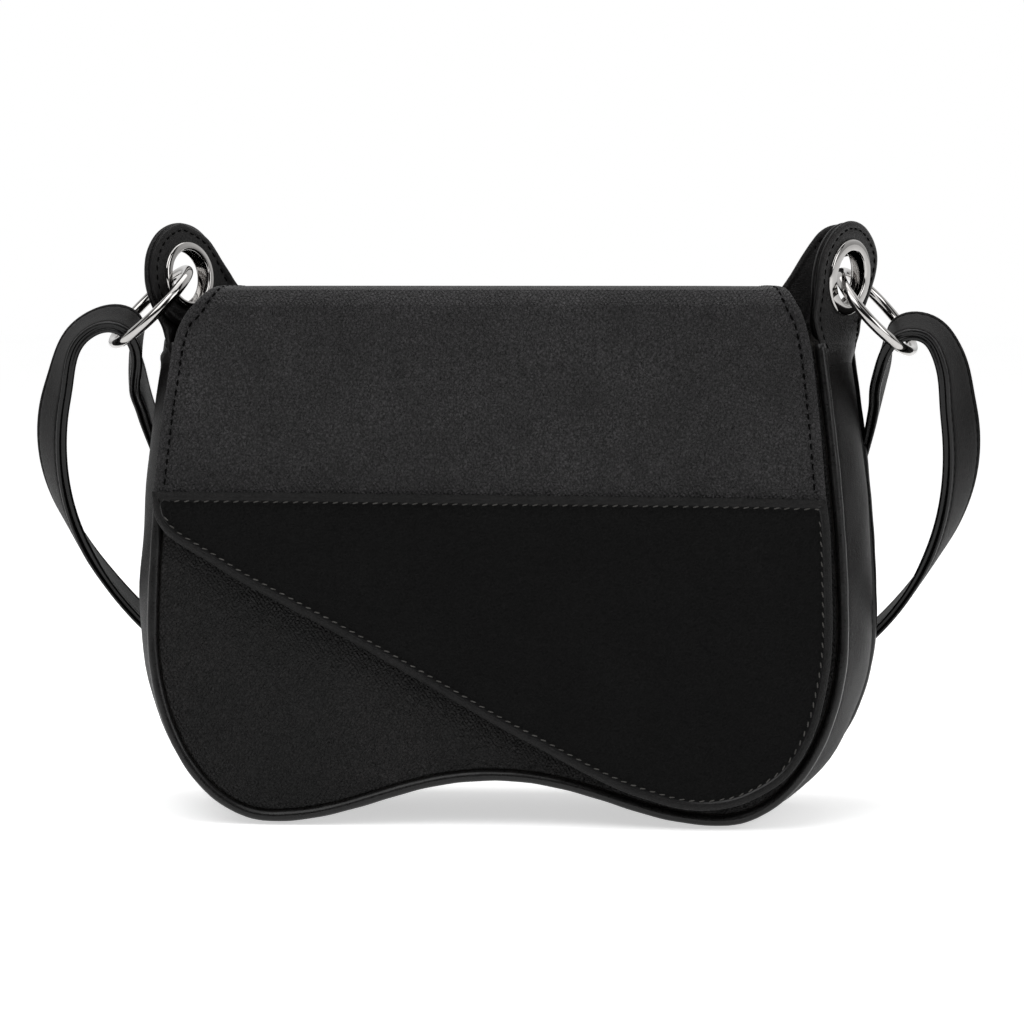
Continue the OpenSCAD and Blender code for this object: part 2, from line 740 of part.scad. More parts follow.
module strap_rivets() {
    low = -strap_t - seat_gap;
    high = tail_gap + strap_t + seat_gap;
    centred() color([0.8, 0.8, 0.82]) at_rivets() {
        translate([0, 0, low - rivet_head_t / 2])
            cylinder(r = rivet_shank_r, h = high - low + rivet_head_t);
        translate([0, 0, low - rivet_head_t]) cylinder(r = rivet_r, h = rivet_head_t);
        translate([0, 0, high]) cylinder(r = rivet_r, h = rivet_head_t);
    }
}

front_panel();
back_panel();
gusset();
front_piping();
back_piping();
front_stiffener();
back_stiffener();
lining();
inner_pocket();
mouth_binding();
left_ear_outer();
left_ear_inner();
right_ear_outer();
right_ear_inner();
left_eyelet();
right_eyelet();
left_eyelet_washer();
right_eyelet_washer();
snap_socket();
snap_socket_washer();
flap_upper();
flap_accent();
flap_lining();
flap_stiffener();
snap_stud();
snap_stud_washer();
left_ring();
right_ring();
strap_outer();
strap_inner();
strap_rivets();
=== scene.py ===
import bpy, json
from math import acos, atan, cos, exp, pi, radians, sin
import numpy as np
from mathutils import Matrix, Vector
from mathutils.geometry import delaunay_2d_cdt

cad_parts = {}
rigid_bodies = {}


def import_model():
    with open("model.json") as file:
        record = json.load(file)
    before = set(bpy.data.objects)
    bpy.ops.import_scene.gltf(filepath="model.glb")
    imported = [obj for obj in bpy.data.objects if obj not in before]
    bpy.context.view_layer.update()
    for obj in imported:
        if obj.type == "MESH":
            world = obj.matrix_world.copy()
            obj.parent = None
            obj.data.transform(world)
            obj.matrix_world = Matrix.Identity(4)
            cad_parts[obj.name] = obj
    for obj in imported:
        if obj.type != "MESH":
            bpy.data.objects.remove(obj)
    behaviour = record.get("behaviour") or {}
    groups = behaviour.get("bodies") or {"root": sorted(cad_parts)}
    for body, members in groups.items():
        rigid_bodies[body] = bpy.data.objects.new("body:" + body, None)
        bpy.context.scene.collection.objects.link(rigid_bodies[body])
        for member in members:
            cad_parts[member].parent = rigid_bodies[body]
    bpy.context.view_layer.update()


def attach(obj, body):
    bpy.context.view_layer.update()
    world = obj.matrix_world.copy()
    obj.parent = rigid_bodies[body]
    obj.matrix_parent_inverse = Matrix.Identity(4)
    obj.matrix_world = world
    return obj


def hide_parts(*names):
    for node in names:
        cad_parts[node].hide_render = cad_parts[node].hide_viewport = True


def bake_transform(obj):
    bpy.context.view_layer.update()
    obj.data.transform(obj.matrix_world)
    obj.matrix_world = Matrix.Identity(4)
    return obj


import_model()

# Sizes in millimetres, as in the construction
FOOT_Y, FLAP_Z, GUSSET_TOP = 35.0, 190.0, 174.0
TAN = 12.0 / FLAP_Z
LEAN = atan(TAN)
CL, SL = cos(LEAN), sin(LEAN)
LOBE_RISE, ARCH_RISE, BULGE = 3.0, 15.5, 3.4
FRONT_HALF, BACK_HALF = 125.0, 137.0
FLAP_GAP, BEND_R = 2.4, 6.0
FRONT_REACH = FOOT_Y - 8 * TAN + (FLAP_GAP + 0.8 + 1.1 + 1.4 + 1.4) / CL
CENTRE_Y = (FOOT_Y + 13 + 12 - FRONT_REACH) / 2
FLAP_ROOT = FOOT_Y - FLAP_Z * TAN + 0.3
EZ = 198.0


def world(p):
    """Millimetres before centring, to the row frame in metres."""
    p = np.asarray(p, float).reshape(-1, 3)
    return (p - [0, CENTRE_Y, 0]) / 1000.0


def unit(v):
    v = np.asarray(v, float)
    return v / np.maximum(np.linalg.norm(v, axis=-1, keepdims=True), 1e-12)


def smoothstep(a, b, x):
    t = np.clip((np.asarray(x, float) - a) / (b - a), 0, 1)
    return t * t * (3 - 2 * t)


def link(name, verts, faces, mat, body, replaced=()):
    me = bpy.data.meshes.new(name)
    me.from_pydata([tuple(p) for p in world(verts)], [], [tuple(int(i) for i in f) for f in faces])
    me.validate()
    me.polygons.foreach_set("use_smooth", [True] * len(me.polygons))
    me.update()
    ob = bpy.data.objects.new(name, me)
    bpy.context.scene.collection.objects.link(ob)
    if mat:
        me.materials.append(mat)
    if body:
        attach(ob, body)
    if replaced:
        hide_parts(*replaced)
    return ob


# Outlines
def bezier(p, n, last=False):
    p = np.asarray(p, float)
    t = np.arange(n + (1 if last else 0))[:, None] / n
    return (1 - t) ** 3 * p[0] + 3 * t * (1 - t) ** 2 * p[1] + 3 * t * t * (1 - t) * p[2] + t ** 3 * p[3]


SIDE = [[0.928, 1], [0.966, 0.807], [1, 0.57], [1, 0.392]]
LOBE = [[1, 0.392], [1, 0.1755], [0.8424, 0], [0.648, 0]]
ARCH = [[0.648, 0], [0.408, 0], [0.272, 1], [0, 1]]
TOP_S = GUSSET_TOP / CL


def half_outline(w, n=22):
    def sc(p, h):
        return [[q[0] * w, LOBE_RISE + q[1] * h] for q in p]
    return np.vstack([bezier(sc(SIDE, TOP_S - LOBE_RISE), n), bezier(sc(LOBE, TOP_S - LOBE_RISE), n),
                      bezier(sc(ARCH, ARCH_RISE), n, True)])


def tangents(p):
    return unit(np.vstack([p[1:], p[-1:]]) - np.vstack([p[:1], p[:-1]]))


def normals2(p):
    t = tangents(p)
    return np.stack([t[:, 1], -t[:, 0]], 1)


def outline(w, d=0.0, n=22):
    h = half_outline(w, n)
    full = np.vstack([h, h[:-1][::-1] * [-1, 1]])
    return full + d * normals2(full)


def lengths(p):
    """Length along a line of points, up to each of them."""
    return np.r_[0, np.cumsum(np.linalg.norm(np.diff(p, axis=0), axis=1))]


def along(q, s, p):
    """Points of the line p, whose lengths are s, at the lengths q."""
    return np.stack([np.interp(q, s, p[:, i]) for i in range(p.shape[1])], -1)


def resample(p, step, closed=False):
    p = np.asarray(p, float)
    if closed:
        p = np.vstack([p, p[:1]])
    s = lengths(p)
    out = along(np.linspace(0, s[-1], max(2, int(round(s[-1] / step))) + 1), s, p)
    return out[:-1] if closed else out


def catmull(p, n=8, closed=False):
    p = np.asarray(p, float)
    m = len(p)
    out = []
    for k in range(m if closed else m - 1):
        a, b, c, d = [p[i % m if closed else min(max(i, 0), m - 1)] for i in range(k - 1, k + 3)]
        for t in np.arange(n) / n:
            out.append(0.5 * (2 * b + (c - a) * t + (2 * a - 5 * b + 4 * c - d) * t * t
                              + (3 * b - a - 3 * c + d) * t ** 3))
    return np.array(out if closed else out + [p[-1]])


def inside(pts, poly):
    x, y = pts[:, 0], pts[:, 1]
    r = np.zeros(len(pts), bool)
    for a, b in zip(poly, np.roll(poly, -1, axis=0)):
        c = (a[1] > y) != (b[1] > y)
        if c.any():
            r[c] ^= x[c] < (b[0] - a[0]) * (y[c] - a[1]) / (b[1] - a[1]) + a[0]
    return r


def edge_distance(pts, poly):
    d = np.full(len(pts), 1e9)
    for a, b in zip(poly, np.roll(poly, -1, axis=0)):
        ab = b - a
        l2 = max(float(ab @ ab), 1e-12)
        t = np.clip(((pts - a) @ ab) / l2, 0, 1)
        d = np.minimum(d, np.hypot(*(pts - a - t[:, None] * ab).T))
    return d


def offset_loop(poly, d):
    """Points of the closed outline moved inwards, without those that a corner swallows."""
    a = np.roll(poly, 1, axis=0); b = np.roll(poly, -1, axis=0)
    t = unit(b - a)
    area = 0.5 * np.sum(poly[:, 0] * b[:, 1] - b[:, 0] * poly[:, 1])
    n = np.stack([-t[:, 1], t[:, 0]], 1) * (1 if area > 0 else -1)
    q = poly + d * n
    return q[edge_distance(q, poly) > 0.97 * d]


def opened(line):
    """A cut loop's points, started after its gap."""
    steps = np.linalg.norm(np.diff(np.vstack([line, line[:1]]), axis=0), axis=1)
    return np.roll(line, -int(np.argmax(steps)) - 1, axis=0)


def grid_faces(m, n, wrap=True):
    """Quads between m rows of n points each; wrap closes the rows."""
    return [(i * n + j, i * n + (j + 1) % n, (i + 1) * n + (j + 1) % n, (i + 1) * n + j)
            for i in range(m - 1) for j in range(n if wrap else n - 1)]


def inset(shape, step, d):
    """A closed shape's line moved inwards by d, as a seam runs."""
    return offset_loop(resample(shape, step, True), d)


def leather(name, outer, place, thick, mat, body, replaced=(), stitch=None, holes=(), grid=5.0,
            step=2.2, edge_r=None, swell=0.0, groove=0.3, lip=0.16):
    """A leather piece with rounded edges: outline in 2-D, place(q, h) puts it in space.
    h is the height over the inner face. stitch is the distance of the sunk seam from the edge."""
    outer = resample(outer, step, True)
    holes = [resample(h, step, True) for h in holes]
    r = edge_r or thick / 2
    loops = [0.12 * r, 0.4 * r, r, r + 0.5]
    if stitch:
        loops += [stitch - 0.9, stitch - 0.35, stitch + 0.35, stitch + 1.0]
    pts = [outer] + holes
    for d in loops:
        q = offset_loop(outer, d)
        for h in holes:
            q = q[(edge_distance(q, h) > 0.3) & ~inside(q, h)]
        pts.append(q)
        for h in holes:
            g = offset_loop(h, -d)
            g = g[inside(g, outer)]
            pts.append(g[edge_distance(g, outer) > 0.3])
    lo, hi = outer.min(0), outer.max(0)
    gx, gy = np.meshgrid(np.arange(lo[0], hi[0], grid), np.arange(lo[1], hi[1], grid))
    gx[::2] += grid / 2
    g = np.stack([gx.ravel(), gy.ravel()], 1)
    g = g[inside(g, outer)]
    far = edge_distance(g, outer) > max(loops) + grid * 0.4
    for h in holes:
        far &= (edge_distance(g, h) > max(loops) + grid * 0.4) & ~inside(g, h)
    pts.append(g[far])
    allp = np.vstack(pts)
    edges, k = [], 0
    for p in [outer] + holes:
        n = len(p)
        edges += [(k + i, k + (i + 1) % n) for i in range(n)]
        k += n
    v2, _, f2, ov, _, _ = delaunay_2d_cdt([Vector(p) for p in allp], edges, [], 0, 1e-5)
    v = np.array([[p.x, p.y] for p in v2])
    f2 = np.array([tuple(f) for f in f2 if len(f) == 3])
    mid = v[f2].mean(1)
    ok = inside(mid, outer)
    for h in holes:
        ok &= ~inside(mid, h)
    f2 = f2[ok]
    a, b, c = v[f2[:, 0]], v[f2[:, 1]], v[f2[:, 2]]
    turn = (b[:, 0] - a[:, 0]) * (c[:, 1] - a[:, 1]) - (b[:, 1] - a[:, 1]) * (c[:, 0] - a[:, 0])
    f2[turn < 0] = f2[turn < 0][:, ::-1]
    used, tri = np.unique(f2, return_inverse=True)
    v, tri = v[used], [tuple(f) for f in tri.reshape(-1, 3).tolist()]
    d = edge_distance(v, outer)
    for h in holes:
        d = np.minimum(d, edge_distance(v, h))
    k = np.clip(1 - d / r, 0, 1)
    cap = np.sqrt(np.maximum(0, 1 - k * k))
    top = thick - r + r * cap
    low = np.minimum(r, thick / 2) * (1 - cap)
    if stitch:
        top = top + lip * smoothstep(0.6 * r, r + 0.9, d) * (1 - smoothstep(stitch - 0.9, stitch - 0.2, d))
        top = top - groove * np.exp(-((d - stitch) / 0.45) ** 2)
    if swell:
        top = top + swell * smoothstep(stitch or 3, 30, d)
    # Edges that only one triangle has are the rim between the two faces
    n, rim = len(v), {}
    for f in tri:
        for a, b in zip(f, f[1:] + f[:1]):
            if not rim.pop((b, a), False):
                rim[a, b] = True
    faces = tri + [tuple(i + n for i in reversed(f)) for f in tri] + [(b, b + n, a + n, a) for a, b in rim]
    return link(name, np.vstack([place(v, top), place(v, low)]), faces, mat, body, replaced)


# Stitches
class Thread:
    """Collects the stitches of one seam group in one mesh."""
    def __init__(self, name, mat, body):
        self.name, self.mat, self.body, self.v, self.f = name, mat, body, [], []

    def run(self, path, normal, pitch=3.6, length=2.6, r=0.3, tilt=0.0):
        s = lengths(path)
        n = int(s[-1] // pitch)
        if n < 1:
            return
        off = (s[-1] - n * pitch) / 2 + pitch / 2
        for c in off + np.arange(n) * pitch:
            a, m, b = (along(q, s, path) for q in (c - length / 2, c, c + length / 2))
            nm = unit(along(c, s, normal)); w = np.cross(nm, unit(b - a))
            base = len(self.v)
            # Along the stitch: place, thickness and height of its five rings
            for u, k, lift in ((-0.5, 0.35, -0.55), (-0.36, 0.85, 0.0), (0.0, 1.0, 0.35),
                               (0.36, 0.85, 0.0), (0.5, 0.35, -0.55)):
                p = m + (b - a) * u + w * tilt * u + nm * (lift * r)
                self.v += [p + r * k * (cos(q) * w + sin(q) * nm)
                           for q in np.arange(6) * pi / 3]
            faces = grid_faces(5, 6) + [tuple(reversed(range(6))), tuple(range(24, 30))]
            self.f += [tuple(base + i for i in f) for f in faces]

    def make(self):
        return link(self.name, np.array(self.v), self.f, self.mat, self.body)


def seam(thread, line, place, h, **kw):
    """Stitches along a 2-D line on a placed piece."""
    hh = np.full(len(line), float(h))
    p = place(line, hh)
    thread.run(p, unit(place(line, hh + 1.0) - p), **kw)


def sew(name, mat, body, line, place, h, **kw):
    """A seam that is a piece of its own."""
    thread = Thread(name, mat, body)
    seam(thread, line, place, h, **kw)
    thread.make()


def cord(name, path, radius, up, mat, body, replaced, sides=18):
    """A round cord along a line, with a radius for each point, closed at both ends."""
    m = len(path)
    t = tangents(path)
    w = unit(np.cross(np.broadcast_to(np.asarray(up, float), t.shape), t)); n = np.cross(t, w)
    ang = np.arange(sides) * 2 * pi / sides
    v = np.array([path[i] + radius[i] * (cos(q) * w[i] + sin(q) * n[i])
                  for i in range(m) for q in ang])
    caps = [tuple(reversed(range(sides))), tuple((m - 1) * sides + q for q in range(sides))]
    return link(name, v, grid_faces(m, sides) + caps, mat, body, replaced)


# Materials
def fit(nt, n, **kw):
    """Sets a node's settings and inputs, and links those values that are sockets. in4 is the
    fifth input, and _ stands for the space in an input's name."""
    for k, v in kw.items():
        key = int(k[2:]) if k[2:].isdigit() else k.replace("_", " ")
        if not isinstance(key, int) and key not in n.inputs.keys():
            setattr(n, k, v)
        elif isinstance(v, bpy.types.NodeSocket):
            nt.links.new(v, n.inputs[key])
        else:
            n.inputs[key].default_value = v
    return n


def node(nt, kind, **kw):
    return fit(nt, nt.nodes.new("ShaderNode" + kind), **kw)


def calc(nt, operation, *values, **kw):
    n = node(nt, "Math", operation=operation, **{"in%d" % i: v for i, v in enumerate(values)}, **kw)
    return n.outputs[0]


def noise(nt, at, scale, detail, rough=0.5):
    return node(nt, "TexNoise", Vector=at, Scale=scale, Detail=detail, Roughness=rough).outputs["Fac"]


def bump(nt, strength, distance, height, **kw):
    return node(nt, "Bump", Strength=strength, Distance=distance, Height=height, **kw).outputs[0]


def span(nt, value, **kw):
    return node(nt, "MapRange", Value=value, **kw).outputs[0]


def ramp(nt, value, *stops):
    r = node(nt, "ValToRGB", in0=value)
    e = r.color_ramp.elements
    while len(e) > 1:
        e.remove(e[-1])
    e[0].position, e[0].color = stops[0]
    for p, c in stops[1:]:
        e.new(p).color = c
    return r.outputs[0]


def nodes_of(name):
    """A new material, its node tree, its shader and the object's coordinates."""
    m = bpy.data.materials.new(name)
    m.use_nodes = True
    nt = m.node_tree
    nt.nodes.clear()
    out = node(nt, "OutputMaterial")
    b = node(nt, "BsdfPrincipled")
    fit(nt, out, in0=b.outputs[0])
    return m, nt, b, node(nt, "TexCoord").outputs["Object"]


def lin(*rgb):
    return tuple(((c / 255 + 0.055) / 1.055) ** 2.4 if c > 10 else c / 255 / 12.92 for c in rgb) + (1.0,)


def grey(v):
    return (v, v, v, 1)


def leather_mat(name, base, light, rough=0.48, coat=0.0, grain=0.3, pebble=0.9, wear=0.4, twill=0.0,
                spec=0.5, crease_shade=0.3, speckle=0.4):
    """Leather: pebbled cells over fine grain and pores, mottled colour with painted shade in the grain's
    creases, and edges lightened partly as polished wear and partly as a painted highlight.
    """
    m, nt, b, at = nodes_of(name)
    warp = node(nt, "TexNoise", Vector=at, Scale=420.0, Detail=2.0).outputs["Color"]
    bent = node(nt, "Mix", data_type="VECTOR", in0=0.0012, in4=at, in5=warp).outputs[1]
    cells, lumps = (node(nt, "TexVoronoi", Vector=bent, Scale=s / pebble, feature=feature).outputs["Distance"]
                    for s, feature in ((1000.0, "DISTANCE_TO_EDGE"), (430.0, "F1")))
    fine, broad = noise(nt, bent, 2600.0, 4.0, 0.6), noise(nt, at, 38.0, 5.0, 0.62)
    pores, dots = noise(nt, bent, 900.0, 3.0), noise(nt, bent, 1300.0, 2.0)
    flats = span(nt, cells, From_Max=0.28)
    height = calc(nt, "MULTIPLY_ADD", flats, 0.55)
    for part, share in ((fine, 0.35), (lumps, -0.25)):
        height = calc(nt, "MULTIPLY_ADD", part, share, height)
    for turn in (0.62, -0.62) if twill else ():
        turned = node(nt, "Mapping", Vector=bent, Rotation=(0, turn, 0)).outputs[0]
        wave = node(nt, "TexWave", Vector=turned, Scale=260.0, Distortion=2.5, Detail=2.0, Detail_Scale=2.5)
        height = calc(nt, "MULTIPLY_ADD", wave.outputs["Fac"], twill, height)
    # Colour: mottled, with painted shade in the creases of the grain, and lighter where an edge is rubbed,
    # partly wear and partly a painted highlight
    tone = ramp(nt, broad, (0.32, lin(*base)), (0.72, lin(*light)))
    crease_shaded = node(nt, "Mix", data_type="RGBA", blend_type="MULTIPLY", in0=0.8, in6=tone,
                   in7=ramp(nt, flats, (0.0, grey(1 - crease_shade)), (0.6, grey(1)))).outputs[2]
    # Convex edges are lightened: partly polished wear, partly a painted highlight
    edge = ramp(nt, node(nt, "NewGeometry").outputs["Pointiness"], (0.5, grey(0)), (0.56, grey(1)))
    rub_and_highlight = calc(nt, "MULTIPLY", calc(nt, "MULTIPLY", edge, pores), wear)
    rubbed_and_highlit = node(nt, "Mix", data_type="RGBA", in0=rub_and_highlight, in6=crease_shaded,
                  in7=lin(*[min(255, c + 42) for c in light])).outputs[2]
    # Grain speckle, finer than the pebbles
    speck = node(nt, "VectorMath", operation="SCALE", in0=rubbed_and_highlit,
                 Scale=span(nt, dots, From_Min=0.37, From_Max=0.63, To_Min=1 - speckle, To_Max=1 + speckle))
    fit(nt, b, Base_Color=speck.outputs[0], Coat_Weight=coat, Coat_Roughness=0.22, Specular_IOR_Level=spec,
        Roughness=span(nt, pores, To_Min=rough - 0.08, To_Max=rough + 0.12),
        Normal=bump(nt, 0.12, 0.002, broad, Normal=bump(nt, grain, 0.0006, height)))
    return m


def thread_mat(name, base, light, spec=0.3):
    m, nt, b, at = nodes_of(name)
    twist = node(nt, "TexWave", Vector=at, Scale=1100.0, Distortion=1.5, Detail=2.0,
                 bands_direction="DIAGONAL").outputs["Fac"]
    tone = calc(nt, "MULTIPLY_ADD", twist, 0.5, calc(nt, "MULTIPLY", noise(nt, at, 300.0, 3.0), 0.6))
    fit(nt, b, Base_Color=ramp(nt, tone, (0.2, lin(*base)), (0.8, lin(*light))), Roughness=0.7,
        Normal=bump(nt, 0.5, 0.0003, twist), Specular_IOR_Level=spec)
    return m


def metal_mat(name, base, rough, brush):
    m, nt, b, at = nodes_of(name)
    along = node(nt, "Mapping", Vector=at, Scale=(1.0, 1.0, 0.25)).outputs[0]
    smear = noise(nt, at, 120.0, 6.0, 0.6)
    tone = ramp(nt, smear, (0.3, lin(*[int(v * 0.93) for v in base])), (0.7, lin(*base)))
    fit(nt, b, Base_Color=tone, Roughness=span(nt, smear, To_Min=rough * 0.6, To_Max=rough * 1.5),
        Normal=bump(nt, brush, 0.0002, noise(nt, along, 1500.0, 5.0, 0.7)), Metallic=1.0)
    return m


def cloth_mat(name, base, light):
    m, nt, b, at = nodes_of(name)
    weave = calc(nt, "MAXIMUM", *[node(nt, "TexWave", Vector=at, Scale=300.0, Distortion=0.6, Detail=1.0,
                                       bands_direction=d).outputs["Fac"] for d in ("X", "Z")])
    tone = calc(nt, "MULTIPLY", weave, noise(nt, at, 90.0, 5.0))
    fit(nt, b, Base_Color=ramp(nt, tone, (0.15, lin(*base)), (0.7, lin(*light))), Roughness=0.85,
        Sheen_Weight=0.35, Normal=bump(nt, 0.35, 0.0004, weave))
    return m


def board_mat(name, base, light):
    m, nt, b, at = nodes_of(name)
    fibre = noise(nt, at, 700.0, 6.0, 0.7)
    fit(nt, b, Base_Color=ramp(nt, fibre, (0.3, lin(*base)), (0.7, lin(*light))), Roughness=0.9,
        Normal=bump(nt, 0.3, 0.0003, fibre))
    return m


M_FLAP = leather_mat("flap_grain_leather", (24, 23, 24), (42, 41, 42), rough=0.52, grain=0.9,
                     pebble=1.3, wear=0.25, twill=0.5, spec=0.27, crease_shade=0.7, speckle=0.8)
M_ACCENT = leather_mat("accent_smooth_leather", (3, 3, 3), (7, 7, 7), grain=0.5, pebble=1.2,
                       wear=0.15, spec=0.08, crease_shade=0.5, twill=0.2, speckle=0.7)
M_BODY = leather_mat("body_leather_fine", (15, 15, 15), (26, 25, 25), grain=0.8, pebble=1.2,
                     wear=0.2, spec=0.17, crease_shade=0.6, twill=0.4, speckle=0.75)
M_GUSSET = leather_mat("gusset_satin_leather", (13, 12, 12), (21, 20, 20), rough=0.46, spec=0.055)
# The ears' leather is the gusset's, in a lighter copy with stronger edge lightening: a painted highlight
M_EAR_HIGHLIT = leather_mat("ear_satin_leather", (15, 14, 14), (25, 24, 24), rough=0.4, wear=0.5, spec=0.16)
# A lighter copy of the accent's leather for its turned rim: a painted highlight
M_RIM_HIGHLIGHT = leather_mat("rim_satin_leather", (14, 14, 14), (24, 23, 23), rough=0.44, grain=0.4,
                    pebble=1.0, spec=0.15)
M_STRAP = leather_mat("strap_satin_leather", (12, 11, 11), (20, 19, 19), grain=0.25, spec=0.045)
M_PIPE = leather_mat("piping_polished_leather", (5, 5, 5), (10, 9, 9), rough=0.28, coat=0.05,
                     grain=0.1, pebble=0.8, spec=0.25)
M_EDGE = leather_mat("painted_edge_gloss", (3, 3, 3), (6, 6, 6), rough=0.22, coat=0.05,
                     grain=0.06, pebble=0.8, wear=0.3, spec=0.22)
M_THREAD = thread_mat("thread_charcoal", (52, 51, 50), (92, 90, 87))
M_BLACK = thread_mat("thread_black", (2, 2, 2), (7, 7, 7), 0.03)
M_METAL = metal_mat("polished_nickel", (178, 176, 174), 0.05, 0.02)
M_SNAP = metal_mat("brushed_steel", (178, 178, 180), 0.28, 0.15)
M_LINING = cloth_mat("lining_twill", (24, 22, 21), (58, 54, 51))
M_SKIVER = leather_mat("flap_skiver_lining", (22, 21, 20), (38, 36, 34), rough=0.6, coat=0.02,
                       pebble=0.7, wear=0.1, crease_shade=0.6)
M_BOARD = board_mat("stiffener_board", (26, 24, 22), (42, 39, 35))


# Panels
def plane(q, out, side):
    """A panel's flat drawing in its leaning plane, out from it: side is -1 in front, 1 behind."""
    q = np.asarray(q, float)
    return np.stack([q[:, 0], side * (FOOT_Y - q[:, 1] * SL + out * CL), q[:, 1] * CL + out * SL], 1)


def panel_place(side, base):
    return lambda q, h: plane(q, base + h, side)


RAISED = 96 + 3.6
FRONT_TOP = (FLAP_Z - BEND_R + 1.8) / CL
BACK_TOP = (FLAP_Z - 0.4) / CL


def panel_outline(half, d, corner, top_s):
    return np.vstack([[[corner, top_s]], outline(half, d), [[-corner, top_s]]])


back_outline, back_place = panel_outline(BACK_HALF, 2.4, RAISED, BACK_TOP), panel_place(1, -1.5)
panel = leather("front_panel_leather", panel_outline(FRONT_HALF, 2.4, RAISED, FRONT_TOP),
                panel_place(-1, -1.5), 1.8, M_BODY, "bag", ("front_panel",), grid=6.0, edge_r=0.6)
panel = leather("back_panel_leather", back_outline, back_place, 1.8, M_BODY, "bag", ("back_panel",),
                grid=6.0, edge_r=0.6, stitch=4.2, groove=0.25)
sew("back_panel_stitches", M_BLACK, "bag", inset(back_outline, 2.0, 4.2), back_place, 1.75)

for nm, half, side in (("front_piping", FRONT_HALF, -1), ("back_piping", BACK_HALF, 1)):
    line = resample(plane(outline(half, 0), 0, side), 2.0)
    # The cord is covered in leather that is pinched a little where the cover is sewn
    s = np.arange(len(line))
    r = 2.0 + 0.05 * np.sin(s * 0.9) + 0.04 * np.sin(s * 0.37 + side)
    ob = cord(nm + "_cord", line, r, [0, side * CL, SL], M_PIPE, "bag", (nm,))


# Gusset
def gusset_grid(d, out, ts, n=20):
    """Lines round the gusset, each at its share t of the way from front to back, and the
    direction out of the bag."""
    way = outline(FRONT_HALF, 0, n) - outline(FRONT_HALF, 1, n)
    nrm = np.stack([way[:, 0], np.zeros(len(way)), way[:, 1]], 1)
    F, B = plane(outline(FRONT_HALF, d, n), out, -1), plane(outline(BACK_HALF, d, n), out, 1)
    return np.array([F * (1 - t) + B * t + BULGE * sin(pi * t) * nrm for t in ts]), nrm


def shell(outer, inner):
    """Points and faces of the sheet between two grids of points."""
    m, n = outer.shape[:2]
    nv = m * n
    f = grid_faces(m, n, False)
    f += [tuple(nv + i for i in reversed(q)) for q in f]
    for k in range(n - 1):
        a = (m - 1) * n + k
        f += [(k + 1, k, nv + k, nv + k + 1), (a, a + 1, nv + a + 1, nv + a)]
    for a in range(0, (m - 1) * n, n):
        b, c, d = a + n, a + n - 1, a + 2 * n - 1
        f += [(a, b, nv + b, nv + a), (d, c, nv + c, nv + d)]
    return np.vstack([outer.reshape(-1, 3), inner.reshape(-1, 3)]), f


def wobble(p, amp, scale):
    """Smooth, seedless unevenness of soft leather."""
    x, y, z = p[..., 0] / scale, p[..., 1] / scale, p[..., 2] / scale
    return amp * (np.sin(1.7 * x + 0.6 * z) * np.sin(1.3 * z + 0.9 * y + 1.1)
                  + 0.5 * np.sin(3.1 * z - 1.2 * x + 2.0) * np.sin(2.3 * y + 0.7 * x))


gt = np.r_[0, 0.02, 0.05, 0.08, 0.115, 0.15, np.linspace(0.2, 0.8, 13), 0.85, 0.885, 0.92, 0.95, 0.98, 1.0]
outer_rows, g_nrm = gusset_grid(-0.3, -2.2, gt)
inner_rows, _ = gusset_grid(1.3, -2.2, gt)
for j, t in enumerate(gt):
    w = sin(pi * t)
    outer_rows[j] += (wobble(outer_rows[j], 0.5, 17.0) * w)[:, None] * g_nrm
    # The edges turn in to the piping, and the seam line is sunk
    sink = 0.9 * exp(-min(t, 1 - t) / 0.018) + 0.28 * exp(-((min(t, 1 - t) - 0.08) / 0.012) ** 2)
    outer_rows[j] -= sink * g_nrm
for rows in (outer_rows, inner_rows):
    rows[:, :, 2] = np.clip(rows[:, :, 2], 0.0, GUSSET_TOP)
inner_rows[:, :, 2] = np.maximum(inner_rows[:, :, 2], 0.5)
gusset = link("gusset_leather", *shell(outer_rows, inner_rows), M_GUSSET, "bag", ("gusset",))
gusset_seam = Thread("gusset_stitches", M_BLACK, "bag")
for t in (0.08, 0.92):
    (line,), nr = gusset_grid(-0.3, -2.2, [t], 40)
    ok = (line[:, 2] < GUSSET_TOP - 1) & (line[:, 2] > 1.0)
    line = line - 0.28 * nr
    for part in np.split(np.arange(len(line)), np.where(np.diff(ok.astype(int)) != 0)[0] + 1):
        if len(part) > 3 and ok[part[0]]:
            gusset_seam.run(line[part], nr[part])
gusset_seam.make()


# Flap: outlines drawn across and along the arc of the bend
BEND_Z = FLAP_Z - BEND_R
BEND_UP = (BEND_Z - (FLAP_GAP - BEND_R) * SL) / CL
BEND_Y = -FOOT_Y + BEND_UP * SL - (FLAP_GAP - BEND_R) * CL
L_TOP = FLAP_ROOT - BEND_Y
TURN = pi / 2 - LEAN
L_BEND = BEND_R * TURN
FACE = 3.3


def arc_of(z, out=FACE):
    """Length along the flap, from the hinge, of the point at height z on the front."""
    zt = BEND_Z + (BEND_R + out) * SL
    if z <= zt:
        return L_TOP + L_BEND + (zt - z) / CL
    return L_TOP + BEND_R * acos(min(1.0, (z - BEND_Z) / (BEND_R + out)))


